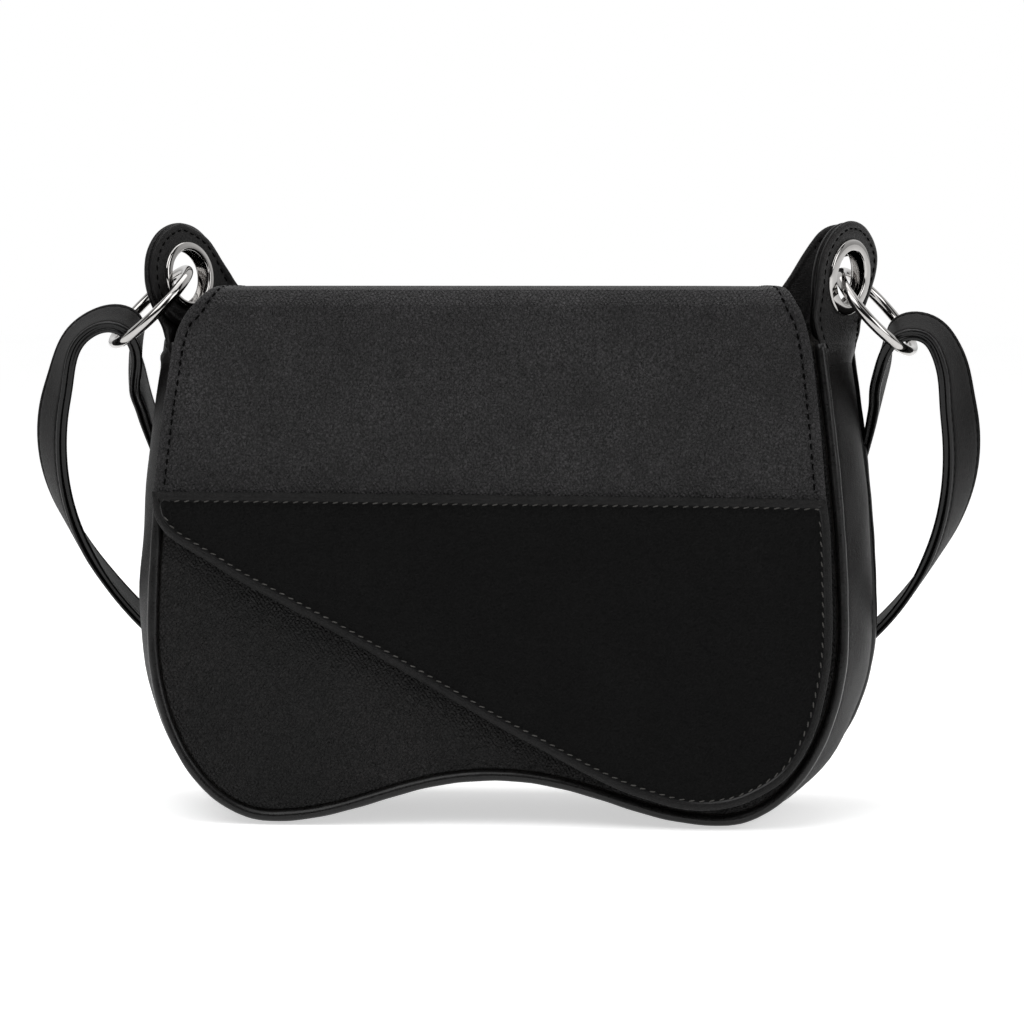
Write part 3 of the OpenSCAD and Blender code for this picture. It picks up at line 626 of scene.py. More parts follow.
def flap_place(base):
    def place(q, h):
        x, a = q[:, 0], q[:, 1]
        # The roll over the front edge is a little padded
        out = base + h + 1.3 * smoothstep(4, 32, a) * (1 - smoothstep(L_TOP + L_BEND, L_TOP + L_BEND + 42, a))
        th = np.clip((a - L_TOP) / BEND_R, 0, TURN)
        over = np.maximum(a - L_TOP - L_BEND, 0)
        y = np.where(a < L_TOP, FLAP_ROOT - a, BEND_Y)
        y = y - (BEND_R + out) * np.sin(th) - over * SL
        z = BEND_Z + (BEND_R + out) * np.cos(th) - over * CL
        # The shoulders droop beyond the ears, and the leather lies a little unevenly
        ax = np.abs(x)
        k = smoothstep(97, 118, ax) ** 1.2 * np.where(a < L_TOP, smoothstep(8, 30, a), 1.0)
        k = k * (1 - smoothstep(L_TOP + 4, L_TOP + 34, a))
        z = z - 2.6 * k
        soft = smoothstep(10, 60, 130 - ax) * smoothstep(L_TOP + 6, L_TOP + 60, a)
        y = y - 0.35 * soft * (np.sin(x / 41.0 + 0.8) * np.sin(a / 37.0) + 0.4 * np.sin(x / 23.0 - a / 31.0))
        return np.stack([x, y, z], 1)
    return place


low_edge = catmull([(-124.2, 120.6), (-123.8, 114.1), (-122.4, 109.8), (-118.6, 104.8), (-113, 100.8),
                    (-103.7, 95.4), (-92.7, 88.6), (-81.7, 82.8), (-68, 75.6), (-50.4, 66.2), (-25, 51.9),
                    (0.4, 37.4), (16.9, 28.8), (33.1, 20.2), (45.7, 14.4), (56.5, 10.8), (68.4, 7.9),
                    (80.3, 7.9), (92.2, 11.2), (105.8, 20.2), (114.8, 35.3), (119.5, 54.4), (121, 70.0),
                    (120.6, 92.2), (119.9, 108.7), (118.6, 118.6)], 6)


def to_arc(p, out=FACE):
    return np.array([(x, arc_of(z, out)) for x, z in p])


def flap_side(sgn, up):
    """From the seam up the front face, then over the bend to the hinge."""
    face = to_arc(catmull(up, 5))
    return np.vstack([face[:-1], catmull([face[-1]] + [(sgn * x, a) for x, a in (
        (104.2, 43.0), (100.6, 34.0), (98.2, 24.0), (96.8, 15.0), (96.0, 8.0), (96.0, 0.0))], 5)])


right_arc = flap_side(1, [(118.6, 118.6), (117.4, 133), (116.0, 148), (114.7, 160), (113.2, 172),
                          (111.4, 181), (109.4, 187.0), (106.8, 190.8)])
left_arc = flap_side(-1, [(-124.2, 120.6), (-122.8, 133), (-120.8, 150), (-119.0, 161), (-117.4, 172),
                          (-115.6, 180.0), (-112.6, 186.4), (-108.2, 190.8)])
flap_shape = np.vstack([to_arc(low_edge)[:-1], right_arc, left_arc[::-1][:-1]])
STITCH_IN = 4.0

base_place = flap_place(0.5)
upper = leather("flap_upper_leather", flap_shape, base_place, 2.8, M_FLAP, "flap",
                ("flap_upper", "flap_stiffener"), grid=4.2, edge_r=1.25, stitch=STITCH_IN, swell=0.1,
                groove=0.42, lip=0.3)
lining_shape = inset(flap_shape, 2.2, 1.3)
under = leather("flap_lining_leather", lining_shape, flap_place(0.0), 0.55, M_SKIVER, "flap",
                ("flap_lining",), grid=6.0, edge_r=0.2)

# Accent: laid over the upper, with its top edge rolled and stitched down
SEAM = 119.0
seam_top = catmull([(118.6, 118.6), (90, 119.2), (45, 119.6), (0, 119.8), (-50, 120.2), (-90, 120.5),
                    (-124.2, 120.6)], 6)
accent_shape = np.vstack([to_arc(low_edge, 4.7)[:-1], to_arc(seam_top, 4.7)[:-1]])
accent_place = flap_place(3.22)
accent = leather("flap_accent_leather", accent_shape, accent_place, 1.6, M_ACCENT, "flap",
                 ("flap_accent",), grid=4.5, edge_r=0.8, stitch=3.4, swell=0.1, groove=0.55, lip=0.7)
# Its turned rim gets a lighter copy of the accent's leather, a painted highlight, and the cut edge below it
# is painted
for extra in (M_RIM_HIGHLIGHT, M_EDGE):
    accent.data.materials.append(extra)
rim_line = world(accent_place(resample(accent_shape, 1.0, True), 0.0))[:, [0, 2]]
for face in accent.data.polygons:
    gap = np.linalg.norm(rim_line - np.array([face.center.x, face.center.z]), axis=1).min() * 1000
    if abs(face.normal.y) < 0.55:
        face.material_index = 2
    # Faces within 3.2 mm of the edge get the rim's painted highlight
    elif gap < 3.2:
        face.material_index = 1

flap_seam = Thread("flap_side_stitches", M_BLACK, "flap")
loop = inset(flap_shape, 1.2, STITCH_IN)
for sgn in (1, -1):
    q = loop[(loop[:, 0] * sgn > 0) & (loop[:, 1] < arc_of(SEAM) - 2) & (loop[:, 1] > 5.5)]
    seam(flap_seam, q[np.argsort(q[:, 1])], base_place, 2.62, r=0.34, length=2.4)
flap_seam.make()
loop = inset(accent_shape, 1.2, 3.4)
cut_a = arc_of(SEAM, 4.7) + 5.4
high = loop[(loop[:, 1] <= cut_a) & (np.abs(loop[:, 0]) < 118)]
for name, line in (("accent_perimeter_stitches", opened(loop[loop[:, 1] > cut_a])),
                   ("accent_top_stitches", high[np.argsort(high[:, 0])])):
    sew(name, M_THREAD, "flap", line, accent_place, 1.42, r=0.27, length=2.0, tilt=0.5)

# Hinge: the flap's leather runs over the back edge and is sewn down on the back panel
hinge_line = catmull([(13.5, 193.75), (20.0, 193.75), (23.2, 193.6), (25.2, 192.4), (25.9, 190.0),
                      (25.6, 187.0), (25.55, 183.0), (25.9, 176.0), (26.4, 168.0)], 6)
hinge_s = lengths(hinge_line)


def hinge_place(q, h):
    a = q[:, 1]
    y, z = along(a, hinge_s, hinge_line).T
    t = unit(along(a + 0.3, hinge_s, hinge_line) - along(a - 0.3, hinge_s, hinge_line))
    return np.stack([q[:, 0], y - t[:, 1] * h, z + t[:, 0] * h], 1)


HX, HL = 94.6, hinge_s[-1]
hinge_shape = catmull([(-HX, 1.5), (-HX + 2, 0), (0, 0), (HX - 2, 0), (HX, 1.5), (HX, HL - 8),
                       (HX - 3.5, HL - 1.5), (HX - 9, HL), (0, HL), (-HX + 9, HL),
                       (-HX + 3.5, HL - 1.5), (-HX, HL - 8)], 5, True)
hinge = leather("flap_hinge_leather", hinge_shape, lambda q, h: hinge_place(q, h - 1.05), 1.1, M_FLAP, None,
                (), grid=3.6, edge_r=0.5, stitch=3.2, groove=0.25)
q = inset(hinge_shape, 1.2, 3.2)
sew("flap_hinge_stitches", M_BLACK, "bag", opened(q[q[:, 1] > HL - 20]), hinge_place, 0.05)
tuple(world([0, 25.7, 186.5])[0])
tuple(world([0, 21.0, 193.6])[0])
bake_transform(hinge)


# Ears
def rot_y(a, v):
    v = np.asarray(v, float)
    c, s = cos(a), sin(a)
    return np.stack([v[..., 0] * c + v[..., 2] * s, v[..., 1], -v[..., 0] * s + v[..., 2] * c], -1)


EARS = {-1: dict(reach=118.0, shift=5.0, turn=radians(56), curl=(0.35, 0.9, 0.7), nm="left"),
        1: dict(reach=125.0, shift=-5.0, turn=radians(58), curl=(0.62, 0.95, 0.68), nm="right")}
HEAD, EAR_T, HOLE, MOUTH_W = 20.0, 2.2, 10.5, 46.0
circle = np.array([(cos(a), sin(a)) for a in np.linspace(0, 2 * pi, 64, endpoint=False)])


def edge_x(w, z):
    h = half_outline(w, 60)[:60]
    return np.interp(-z, -h[:, 1] * CL, h[:, 0])


def on_gusset(side, z, t, lift):
    xf, xb = edge_x(FRONT_HALF, z), edge_x(BACK_HALF, z)
    yb = FOOT_Y - z * TAN - 2.2
    x = xf * (1 - t) + xb * t + 0.3 + BULGE * np.sin(pi * np.clip(t, 0, 1)) + lift
    return np.stack([side * x, -yb * (1 - t) + yb * t, z], -1)


def ear_leather(E, layer, shape, place):
    nm = E["nm"] + "_ear_" + layer
    ob = leather(nm + "_leather", shape, place, EAR_T, M_EAR_HIGHLIT, "bag", (nm,), grid=2.6, step=1.2,
                 edge_r=0.95, stitch=2.7, groove=0.22, holes=[circle * HOLE])
    return inset(shape, 0.8, 2.7)


for side, E in EARS.items():
    cos_a, sin_a = cos(E["turn"]), sin(E["turn"])
    lean = side * radians(7)
    E.update(e=np.array([side * E["reach"], E["shift"], EZ]), lean=lean, U=rot_y(lean, [cos_a, sin_a, 0]),
             V=rot_y(lean, [0, 0, 1]), N=rot_y(lean, [sin_a, -cos_a, 0]))

    # Outer layer, which carries on from the gusset
    def place_outer(q, h):
        u, v = q[:, 0], q[:, 1]
        base = -EAR_T if side < 0 else 0.0
        flat = E["e"] + u[:, None] * E["U"] + v[:, None] * E["V"] + (base + h)[:, None] * E["N"]
        # On the gusset, u runs from front to back, and the face that is turned inward lies on it
        t = (0.5 if side > 0 else 0.47) + u / MOUTH_W
        lift = 0.15 + (h if side > 0 else EAR_T - h) * 0.6 - 1.7 * (1 - smoothstep(-33.0, -26.5, v))
        w = (1 - smoothstep(-31.0, -13.0, v))[:, None]
        return flat * (1 - w) + on_gusset(side, EZ + v, t, lift) * w

    if side > 0:
        tab = catmull([(-0.2, 1.0), (-0.62, 0.8), (-0.9, 0.45), (-0.985, 0.1), (-0.97, -0.35),
                       (-1.0, -0.9), (-1.05, -1.35), (-1.07, -1.62), (-0.9, -1.7), (0, -1.72), (0.9, -1.7),
                       (1.02, -1.62), (0.96, -1.3), (0.8, -1.0), (0.68, -0.78), (0.72, -0.55), (0.85, -0.25),
                       (0.97, 0.15), (0.92, 0.5), (0.64, 0.8), (0.25, 0.985)], 6, True) * HEAD
    else:
        tab = catmull([(0, 1.0), (-0.5, 0.87), (-0.87, 0.5), (-1.0, 0), (-0.93, -0.4), (-0.8, -0.7),
                       (-0.74, -0.95), (-0.85, -1.3), (-0.96, -1.62), (-0.86, -1.7), (0, -1.72),
                       (0.9, -1.7), (1.05, -1.62), (0.98, -1.3), (0.82, -0.95), (0.8, -0.7), (0.93, -0.4),
                       (1.0, 0), (0.87, 0.5), (0.5, 0.87)], 6, True) * HEAD
    q = ear_leather(E, "outer", tab, place_outer)
    q = opened(q[q[:, 1] > -27.5])
    th = Thread(E["nm"] + "_ear_outer_stitches", M_BLACK, "bag")
    if side > 0:
        seam(th, q, place_outer, EAR_T - 0.1, r=0.3, length=2.2, pitch=3.4)
    else:
        p0 = place_outer(q, np.zeros(len(q))); p1 = place_outer(q, np.full(len(q), -1.0))
        th.run(p0, unit(p1 - p0), r=0.27, length=2.4, pitch=3.4)
    th.make()

    # Inner layer: from inside the back panel it curls forward to lie on the outer one
    u2 = np.array([cos_a, sin_a])
    back_face = FOOT_Y - GUSSET_TOP * TAN - 1.5 - 0.4 - EAR_T
    base2 = side * -0.5 * EAR_T * np.array([sin_a, -cos_a])
    c = E["curl"]
    reach = E["reach"] - RAISED
    st = np.array([-side * reach, back_face - E["shift"]])
    bz = bezier([st, st + [side * c[0] * reach, 0], base2 + c[1] * HEAD * u2, base2 + c[2] * HEAD * u2],
                40, True)
    path = np.vstack([bz, base2 + 0.4 * HEAD * u2, base2, base2 - 0.5 * HEAD * u2, base2 - 1.1 * HEAD * u2])
    ps = lengths(path)
    zero = ps[-3]

    def place_inner(q, h):
        p = q[:, 0] + zero
        t = unit(along(np.minimum(p + 0.6, ps[-1]), ps, path) - along(np.maximum(p - 0.6, 0), ps, path))
        n = np.stack([-t[:, 1], t[:, 0]], 1)
        # h grows away from the outer layer
        s = 1 if (n @ np.array([sin_a, -cos_a]) * -side).mean() > 0 else -1
        c1 = along(p, ps, path) + n * (s * (h - EAR_T / 2))[:, None]
        return E["e"] + rot_y(E["lean"], np.stack([c1[:, 0], c1[:, 1], q[:, 1]], 1))

    order = np.argsort(path[:, 0]) if side < 0 else np.arange(np.argmax(path[:, 0]) + 1)

    def P(xf):
        return float(np.interp(xf, path[order, 0], ps[order])) - zero

    if side < 0:
        # Here the first coordinate grows to the front edge, so the head's arc is mirrored
        front = [(-cos(k) * HEAD * 0.98, sin(k) * HEAD * 0.98)
                 for k in np.radians(np.arange(100, 262, 9))]
        flank = [(P(-side * reach * (1 - s0)), HEAD * s1) for s0, s1 in
                 ((0.0, -0.52), (0.16, -0.12), (0.3, 0.16), (0.42, 0.4), (0.52, 0.6), (0.64, 0.76),
                  (0.8, 0.9))]
        shape = flank + [(0.0, 0.99 * HEAD)] + front + [(P(2.0), -1.25 * HEAD), (P(8), -1.32 * HEAD),
                                                         (P(reach), -1.36 * HEAD)]
    else:
        shape = [(P(-25.4), -12), (P(-22.5), -8), (P(-19.2), -1.8), (P(-16.2), 5), (P(-13.1), 11.2),
                 (P(-10.2), 15.6), (P(-6), 18.3), (P(0), 19.2), (P(6), 17.4), (P(9.5), 14.6), (-17, 13.2),
                 (-13, 15.2), (-7, 18.4), (0, 19.6), (7, 18.4), (13, 14.8), (17.6, 8.4), (19.4, 0),
                 (18.2, -9), (16.5, -18), (12, -23.5), (0, -24), (-8.5, -22.5), (-11.2, -18), (-11.5, -10),
                 (-11.5, -2), (-11.8, 4.5), (-14, 7.6), (-19, 8), (P(5), 8), (P(0), 7.4), (P(-4), 4),
                 (P(-6.5), -4), (P(-8), -16), (P(-11), -23.0), (P(-16), -23.6), (P(-25.4), -23.6)]
    q = ear_leather(E, "inner", catmull(shape, 5, True), place_inner)
    sew(E["nm"] + "_ear_inner_stitches", M_BLACK, "bag", opened(q[q[:, 1] > (-9 if side < 0 else 8.5)]),
        place_inner, EAR_T - 0.1, r=0.3, length=2.2, pitch=3.4)


# Turned and bent hardware
def lathe(name, profile, origin, U, V, N, body, replaced, steps=96):
    """A closed profile of radii and heights, turned about N."""
    m = len(profile)
    v = [origin + r * (cos(a) * U + sin(a) * V) + n * N
         for a in 2 * pi * np.arange(steps) / steps for r, n in profile]
    f = [(a + j, b + j, b + (j + 1) % m, a + (j + 1) % m)
         for a, b in [(k * m, (k + 1) % steps * m) for k in range(steps)] for j in range(m)]
    ob = link(name, np.array(v), f, M_METAL, body, replaced)


def arc(cx, cy, r, a0, a1, n):
    return [(cx + r * cos(a), cy + r * sin(a)) for a in np.radians(np.linspace(a0, a1, n))]


for side, E in EARS.items():
    nm, axes = E["nm"], (E["e"], E["U"], E["V"], E["N"])
    # Pressed by hand, the two flanges spread a little differently
    wide, top, low = 12.7 if side < 0 else 14.0, EAR_T, -EAR_T
    flange = ([(9.6, low - 0.2), (9.6, top + 0.3)] + arc(10.5, top + 0.3, 0.9, 180, 100, 6)
              + arc(wide - 0.95, top + 0.02, 0.95, 80, 0, 6)
              + [(wide - 0.2, top + 0.02), (10.4, top + 0.02), (10.4, low - 0.2)])
    washer = ([(9.55, low + 0.1), (10.6, low + 0.1), (12.7, low - 0.02)]
              + arc(12.2, low - 0.35, 0.6, 0, -90, 5) + arc(10.2, low - 0.15, 0.75, -90, -180, 5))
    lathe(nm + "_eyelet_flange", flange, *axes, "bag", (nm + "_eyelet",))
    lathe(nm + "_eyelet_back", washer, *axes, "bag", (nm + "_eyelet_washer",))

RING_R, WIRE_R = 19.0, 2.0
wire = [(RING_R + WIRE_R * cos(b), WIRE_R * sin(b)) for b in np.arange(24) * 2 * pi / 24]
RINGS = {-1: (47, 15, 2.5), 1: (43, 12, 1.5)}
ring_far = {}
for side, (tilt, turn, seat) in RINGS.items():
    E = EARS[side]
    nm = E["nm"] + "_ring"
    d = np.array([side * sin(radians(tilt)), 0, -cos(radians(tilt))])
    top = np.array([E["e"][0], 0, E["e"][2]]) - seat * d
    ring_far[side] = top + 2 * RING_R * d
    # In the ring's plane: d, and the level direction turned about d
    A, B = radians(-side * tilt), radians(-side * turn)
    axes = [rot_y(A, v) for v in ([-sin(B), cos(B), 0], [0, 0, 1], [cos(B), sin(B), 0])]
    lathe(nm + "_polished", wire, top + RING_R * d, *axes, nm, (nm,), 144)


# Strap: the route as in the construction, swept with a rounded section of two layers
REACH, ROUTE_Y, STRAP_W, STRAP_T, STRAP_TURN, LOOP_R = 170.0, 48.0, 24.0, 1.7, 36.0, 9.3
OUTER = [[0.949, 0, 0.876, 0.5], [0.972, 0, 0.834, 0.6], [0.987, 0.02, 0.785, 0.75],
         [1, 0.06, 0.703, 1], [1, 0.14, 0.63, 1], [0.985, 0.27, 0.565, 0.95],
         [0.96, 0.48, 0.505, 0.8], [0.915, 0.78, 0.425, 0.6], [0.85, 0.98, 0.345, 0.35],
         [0.765, 1, 0.275, 0.15], [0.66, 1, 0.22, 0.05], [0.54, 1, 0.182, 0],
         [0.41, 1, 0.158, 0], [0.27, 1, 0.146, 0]]
INNER = [[0.618, 1, 0.262, 0], [0.66, 1, 0.33, 0], [0.69, 1, 0.4, 0],
         [0.716, 1, 0.47, 0], [0.743, 1, 0.545, 0], [0.766, 1, 0.615, 0],
         [0.792, 0.96, 0.668, 0], [0.808, 0.82, 0.713, 0], [0.814, 0.63, 0.752, 0.1],
         [0.815, 0.425, 0.788, 0.2], [0.815, 0.235, 0.824, 0.3]]
LOOP = [[185, 1, 0.26, 0.4], [160, 1.03, 0.05, 0.4], [130, 1.05, 0, 0.4],
        [100, 1.03, 0, 0.4], [72, 1.05, 0, 0.4], [36, 1.22, 0, 0.42]]
TAIL_GAP = 2 * STRAP_T + 0.2


def placed(shares, side):
    return [[side * s[0] * REACH, s[1] * ROUTE_Y, s[2] * EZ, -side * s[3] * STRAP_TURN] for s in shares]


def loop_points(side):
    return [[*(ring_far[side] + LOOP_R * np.array([side * k * cos(radians(a)), back, k * sin(radians(a))])),
             -side * w * STRAP_TURN] for a, k, back, w in LOOP]


def run_normal(run, k):
    t = unit(np.array(run[min(k + 1, 13)][:3]) - np.array(run[k - 1][:3]))
    return unit([-t[2] * np.sign(t[0]), 0, abs(t[0])])


def half_route(side):
    run = placed(OUTER, side)
    tail = [[*(np.array(run[k][:3]) + TAIL_GAP * run_normal(run, k)), 0] for k in (13, 12, 11)]
    return tail + placed(INNER, side) + loop_points(side) + run


route_pts = np.array(half_route(-1) + [[0, ROUTE_Y, 0.14 * EZ, 0]] + half_route(1)[::-1], float)
route = catmull(route_pts, 14)
# Evenly spaced, so the ends of each stretch don't show
ROUTE_STEP = 1.5
rl = lengths(route[:, :3])
route = along(np.linspace(0, rl[-1], int(rl[-1] / ROUTE_STEP)), rl, route)


def blur(a, sigma, times=1):
    n = int(3 * sigma / ROUTE_STEP) + 1
    k = np.exp(-0.5 * (np.arange(-n, n + 1) * ROUTE_STEP / sigma) ** 2)
    k /= k.sum()
    for _ in range(times):
        p = np.vstack([2 * a[0] - a[n:0:-1], a, 2 * a[-1] - a[-2:-n - 2:-1]])
        a = np.stack([np.convolve(p[:, i], k, "valid") for i in range(a.shape[1])], 1)
    return a


soft_route, hard_route = blur(route, 13.0, 2), blur(route, 3.4)
near_ring = np.minimum(*[np.linalg.norm(route[:, :3] - ring_far[side], axis=1) for side in (-1, 1)])
k = smoothstep(13.0, 30.0, near_ring)[:, None]
route = blur(hard_route * (1 - k) + soft_route * k, 3.0)
pos = route[:, :3]
T = tangents(pos)
far_out = np.abs(pos[:, 0])
q = np.radians(route[:, 3]) * (1 + 0.3 * smoothstep(138, 150, far_out) * (1 - smoothstep(20, 34, pos[:, 1])))
half_turn = cos(radians(45))


def across(w):
    """Square to the strap's run."""
    return unit(w - (w * T).sum(1)[:, None] * T)


W = np.stack([np.sin(q) * half_turn, -np.cos(q), -np.abs(np.sin(q)) * half_turn], 1)
W = across(blur(across(W), 14.0))
NN = np.cross(T, W)
# The layers are a little fuller than their construction where the strap hangs free
full = 1 + 0.24 * smoothstep(118, 132, far_out) * (1 - smoothstep(22, 36, pos[:, 1]))


def strap_section():
    """Half width first, thickness second: two layers with painted, rounded edges and a seam
    pressed in along each border."""
    hw, t = STRAP_W / 2, STRAP_T
    p = []
    for w in (-hw + 0.7, -hw + 1.6, -hw + 2.1, -hw + 2.5, -hw + 2.9, -hw + 3.8, -6, -3, 0, 3, 6, hw - 3.8,
              hw - 2.9, hw - 2.5, hw - 2.1, hw - 1.6, hw - 0.7):
        d = hw - abs(w)
        n = t - 0.3 * exp(-((d - 2.5) / 0.45) ** 2) + 0.06 * cos(w / hw * 1.5) - 0.05
        p.append((w, n))
    right = (arc(hw - 0.75, 0.95, 0.75, 80, -40, 6) + [(hw - 0.95, 0.0)]
             + arc(hw - 0.75, -0.95, 0.75, 40, -80, 6))
    low = [(w, -n) for w, n in p[::-1]]
    left = [(-w, -n) for w, n in right]
    return np.array(p + right + low + left)


sec = strap_section()
sn, m = len(sec), len(pos)
# A little lengthwise curl, as worn straps have
along_s = np.arange(m) * ROUTE_STEP
cup = 0.28 * np.sin(along_s / 47.0) + 0.18 * np.sin(along_s / 19.0)
w = sec[:, 0]
n = sec[:, 1] * full[:, None] + cup[:, None] * (1 - (w / (STRAP_W / 2)) ** 2)
verts = (pos[:, None] + w[:, None] * W[:, None] + n[..., None] * NN[:, None]).reshape(-1, 3)
f = grid_faces(m, sn) + [tuple(reversed(range(sn))), tuple(range((m - 1) * sn, m * sn))]
strap = link("strap_leather", verts, [q[::-1] for q in f], M_STRAP, "strap", ("strap_outer", "strap_inner"))
# The two edges are painted: 17 points of the section lie on a face, 13 round an edge
strap.data.materials.append(M_EDGE)
painted = set(range(17 - 1, 17 + 13)) | set(range(2 * 17 + 13 - 1, sn))
strap.data.polygons.foreach_set("material_index", [
    int(i < (m - 1) * sn and i % sn in painted) for i in range(len(strap.data.polygons))])
for sgn, nm in ((1, "strap_stitches_outer"), (-1, "strap_stitches_inner")):
    th = Thread(nm, M_BLACK, "strap")
    for w in (-STRAP_W / 2 + 2.5, STRAP_W / 2 - 2.5):
        n = sgn * (STRAP_T - 0.36) * full + cup * (1 - (w / (STRAP_W / 2)) ** 2)
        p = pos + w * W + n[:, None] * NN
        th.run(p[4:-4], sgn * NN[4:-4], pitch=3.6, length=2.5, r=0.34)
    th.make()

# Lining of the main compartment, softer than its construction
lt = np.linspace(0, 1, 25)
sheets = []
for d, out in ((1.9, -2.8), (2.7, -3.55)):
    rows, nr = gusset_grid(d, out, lt, 12)
    for j, t in enumerate(lt):
        w = sin(pi * t)
        rows[j] -= (0.3 + wobble(rows[j], 0.55, 14.0)[:, None] * w) * nr * w
    rows[:, :, 2] = np.clip(rows[:, :, 2], 1.2, GUSSET_TOP - 0.4)
    sheets.append(rows)
sleeve = link("lining_sleeve", *shell(*sheets), M_LINING, "bag", ("lining",))
# Its two large faces lie along the panels
for nm, half, side, top in (("front", FRONT_HALF, -1, 179.0), ("back", BACK_HALF, 1, 186.0)):
    ob = leather("lining_" + nm + "_face", panel_outline(half, 2.1, RAISED - 4, top / CL),
                 lambda q, h: plane(
                     q, -3.45 + (h + 0.12 * np.sin(q[:, 0] / 19.0) * np.sin(q[:, 1] / 23.0)), side),
                 0.6, M_LINING, "bag", (), grid=8.0, step=4.0, edge_r=0.2)

# Slip pocket: bellows a little at its mouth
PT = TOP_S - 24.0
PL = PT - 90
pk = catmull([(-65, PT), (-65, PL + 6), (-63, PL + 2), (-59, PL), (59, PL), (63, PL + 2), (65, PL + 6),
              (65, PT)], 5)


def pocket_place(q, h):
    k = np.clip(1 - (q[:, 0] / 65.0) ** 2, 0, 1) * smoothstep(PL + 1, PT, q[:, 1])
    edge = smoothstep(0, 6, 65 - np.abs(q[:, 0])) * smoothstep(0, 5, q[:, 1] - PL)
    return plane(q, -4.4 - 1.6 * edge - 5.6 * k * edge - h, 1)


ob = leather("inner_pocket_cloth", pk, pocket_place, 0.9, M_LINING, "bag", ("inner_pocket",), grid=5.0,
             edge_r=0.35, stitch=2.6, groove=0.2)
sew("inner_pocket_stitches", M_THREAD, "bag", inset(pk, 1.2, 2.6), pocket_place, 0.8, r=0.26)

# Binding over the mouth's front edge
fold = [(-2.85, FRONT_TOP - 9 + 9 * s) for s in np.linspace(0, 1, 9)]
fold += [(-1.15 + 1.7 * cos(a), FRONT_TOP + 0.75 * sin(a))
         for a in np.radians(np.arange(165, 0, -15))]
fold += [(0.62, FRONT_TOP - 9 * s) for s in np.linspace(0, 1, 9)]
bx = np.linspace(-RAISED, RAISED, 90)
v = [plane([[x, s]], out + 0.04 * sin(x / 5.0), -1)[0] for x in bx for out, s in fold]
ob = link("mouth_binding_tape", v, grid_faces(len(bx), len(fold), False), M_BODY, "bag", ("mouth_binding",))
ob.modifiers.new("thick", "SOLIDIFY").thickness = 0.0004
th = Thread("mouth_binding_stitches", M_BLACK, "bag")
ln = plane(np.stack([bx[1:-1], np.full(len(bx) - 2, FRONT_TOP - 7.2)], 1), 0.72, -1)
th.run(ln, np.tile([0, -CL, SL], (len(ln), 1)), r=0.26)
th.make()

# Carried-over nodes get their finishes
FINISH = ((M_BOARD, ("front_stiffener", "back_stiffener", "flap_stiffener")), (M_METAL, ("strap_rivets",)),
          (M_SNAP, ("snap_socket", "snap_socket_washer", "snap_stud", "snap_stud_washer")))
for mat, names in FINISH:
    for ob in bpy.data.objects:
        if ob.name.split(".")[0] in names:
            for s in ob.material_slots:
                s.material = mat
            if ob.type == "MESH" and not ob.material_slots:
                ob.data.materials.append(mat)


# Floor: pale, seen white by the camera and in the metal, with the object's shadow on it
floor = link("studio_floor", [(x, y + CENTRE_Y, -0.2) for x, y in
                              ((-6000, -3000), (6000, -3000), (6000, 9000), (-6000, 9000))],
             [(0, 1, 2, 3)], None, None)
GLOW, AMBIENT = 0.56, 0.5


def direct(nt, ray):
    """1 for rays from the camera, from a mirror or through glass."""
    first = calc(nt, "ADD", ray["Is Camera Ray"], ray["Is Glossy Ray"], use_clamp=True)
    return calc(nt, "ADD", first, ray["Is Transmission Ray"], use_clamp=True)


m, nt, b, at = nodes_of("studio_white")
fit(nt, b, Roughness=0.9, Specular_IOR_Level=0.0,
    Base_Color=ramp(nt, noise(nt, at, 6.0, 2.0), (0.3, grey(0.86)), (0.7, grey(0.88))))
glow = node(nt, "Emission", Color=grey(1),
            Strength=calc(nt, "MULTIPLY", direct(nt, node(nt, "LightPath").outputs), GLOW))
out = b.outputs[0].links[0].to_node
fit(nt, out, in0=node(nt, "AddShader", in0=b.outputs[0], in1=glow.outputs[0]).outputs[0])
floor.data.materials.append(m)

sky = bpy.data.worlds.new("studio")
bpy.context.scene.world = sky
sky.use_nodes = True
wn = sky.node_tree
wn.nodes.clear()
# Beside and behind the object the studio is white; where the photographer stands it is dim,
# with a darker strip between the lamps, which the metal shows
way = node(wn, "SeparateXYZ", in0=node(wn, "TexCoord").outputs["Generated"]).outputs


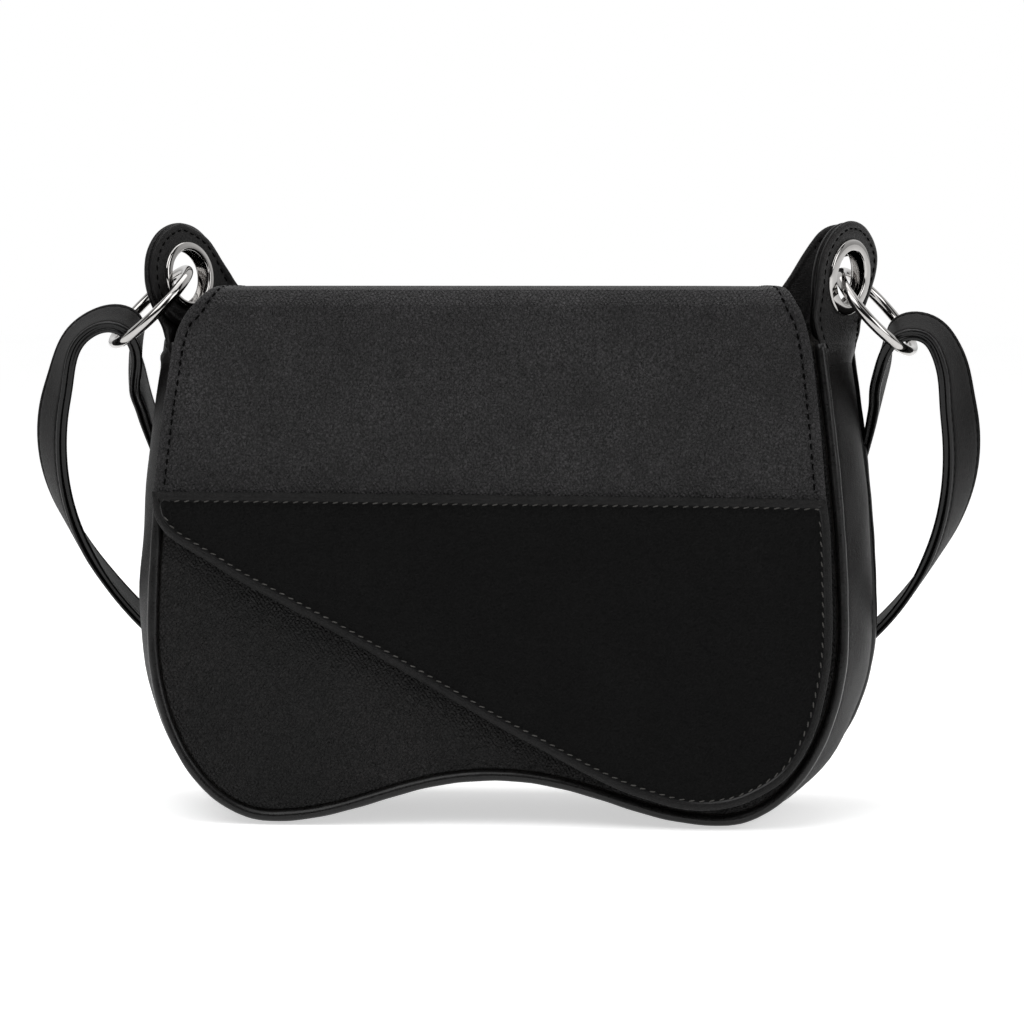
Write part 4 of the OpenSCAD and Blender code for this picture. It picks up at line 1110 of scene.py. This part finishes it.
def grey_ramp(axis, *stops):
    return ramp(wn, span(wn, way[axis], From_Min=-1.0), *[(p, grey(v)) for p, v in stops])


around = grey_ramp("Y", (0.0, 0.02), (0.13, 0.03), (0.17, 0.5), (0.26, 0.62), (0.3, 0.01), (0.49, 0.02),
                   (0.54, 0.6), (0.74, 0.95))
upward = grey_ramp("Z", (0.0, 0.5), (0.5, 0.6), (0.62, 1), (1.0, 1))
studio = node(wn, "Mix", data_type="RGBA", blend_type="MULTIPLY", in0=1.0, in6=around, in7=upward).outputs[2]
ray = node(wn, "LightPath").outputs
seen = node(wn, "Background", Strength=1.0, Color=node(
    wn, "Mix", data_type="RGBA", in0=ray["Is Camera Ray"], in6=studio, in7=grey(1)).outputs[2])
ambient = node(wn, "Background", Color=grey(1), Strength=AMBIENT)
both = node(wn, "MixShader", in0=direct(wn, ray), in1=ambient.outputs[0], in2=seen.outputs[0])
node(wn, "OutputWorld", in0=both.outputs[0])


def aimed(name, data, at, to):
    """A lamp or camera in the scene, turned to a point."""
    ob = bpy.data.objects.new(name, data)
    bpy.context.scene.collection.objects.link(ob)
    ob.location = at
    ob.rotation_euler = (Vector(to) - Vector(at)).to_track_quat("-Z", "Y").to_euler()
    return ob


for name, at, size, power in (("key", (-0.5, -0.9, 1.3), 1.1, 9.0), ("fill", (1.1, -0.6, 0.6), 0.7, 4.0),
                              ("top", (0.0, 0.1, 1.5), 1.3, 9.0)):
    lamp = bpy.data.lights.new(name, "AREA")
    lamp.shape = "RECTANGLE"
    lamp.size, lamp.size_y, lamp.energy = size, size, power
    aimed(name, lamp, at, (0, 0, 0.1))

# Camera at the photograph's angle
AZ, EL, DIST = radians(4), radians(4), 1.3
target = Vector((0.0038, -0.0092, 0.1114))
cam = bpy.data.cameras.new("camera")
cam.sensor_width, cam.lens, cam.clip_start = 36, 124.0, 0.05
stand = target + DIST * Vector((sin(AZ) * cos(EL), -cos(AZ) * cos(EL), sin(EL)))
bpy.context.scene.camera = aimed("camera", cam, stand, target)
bpy.context.scene.view_settings.view_transform = "Standard"
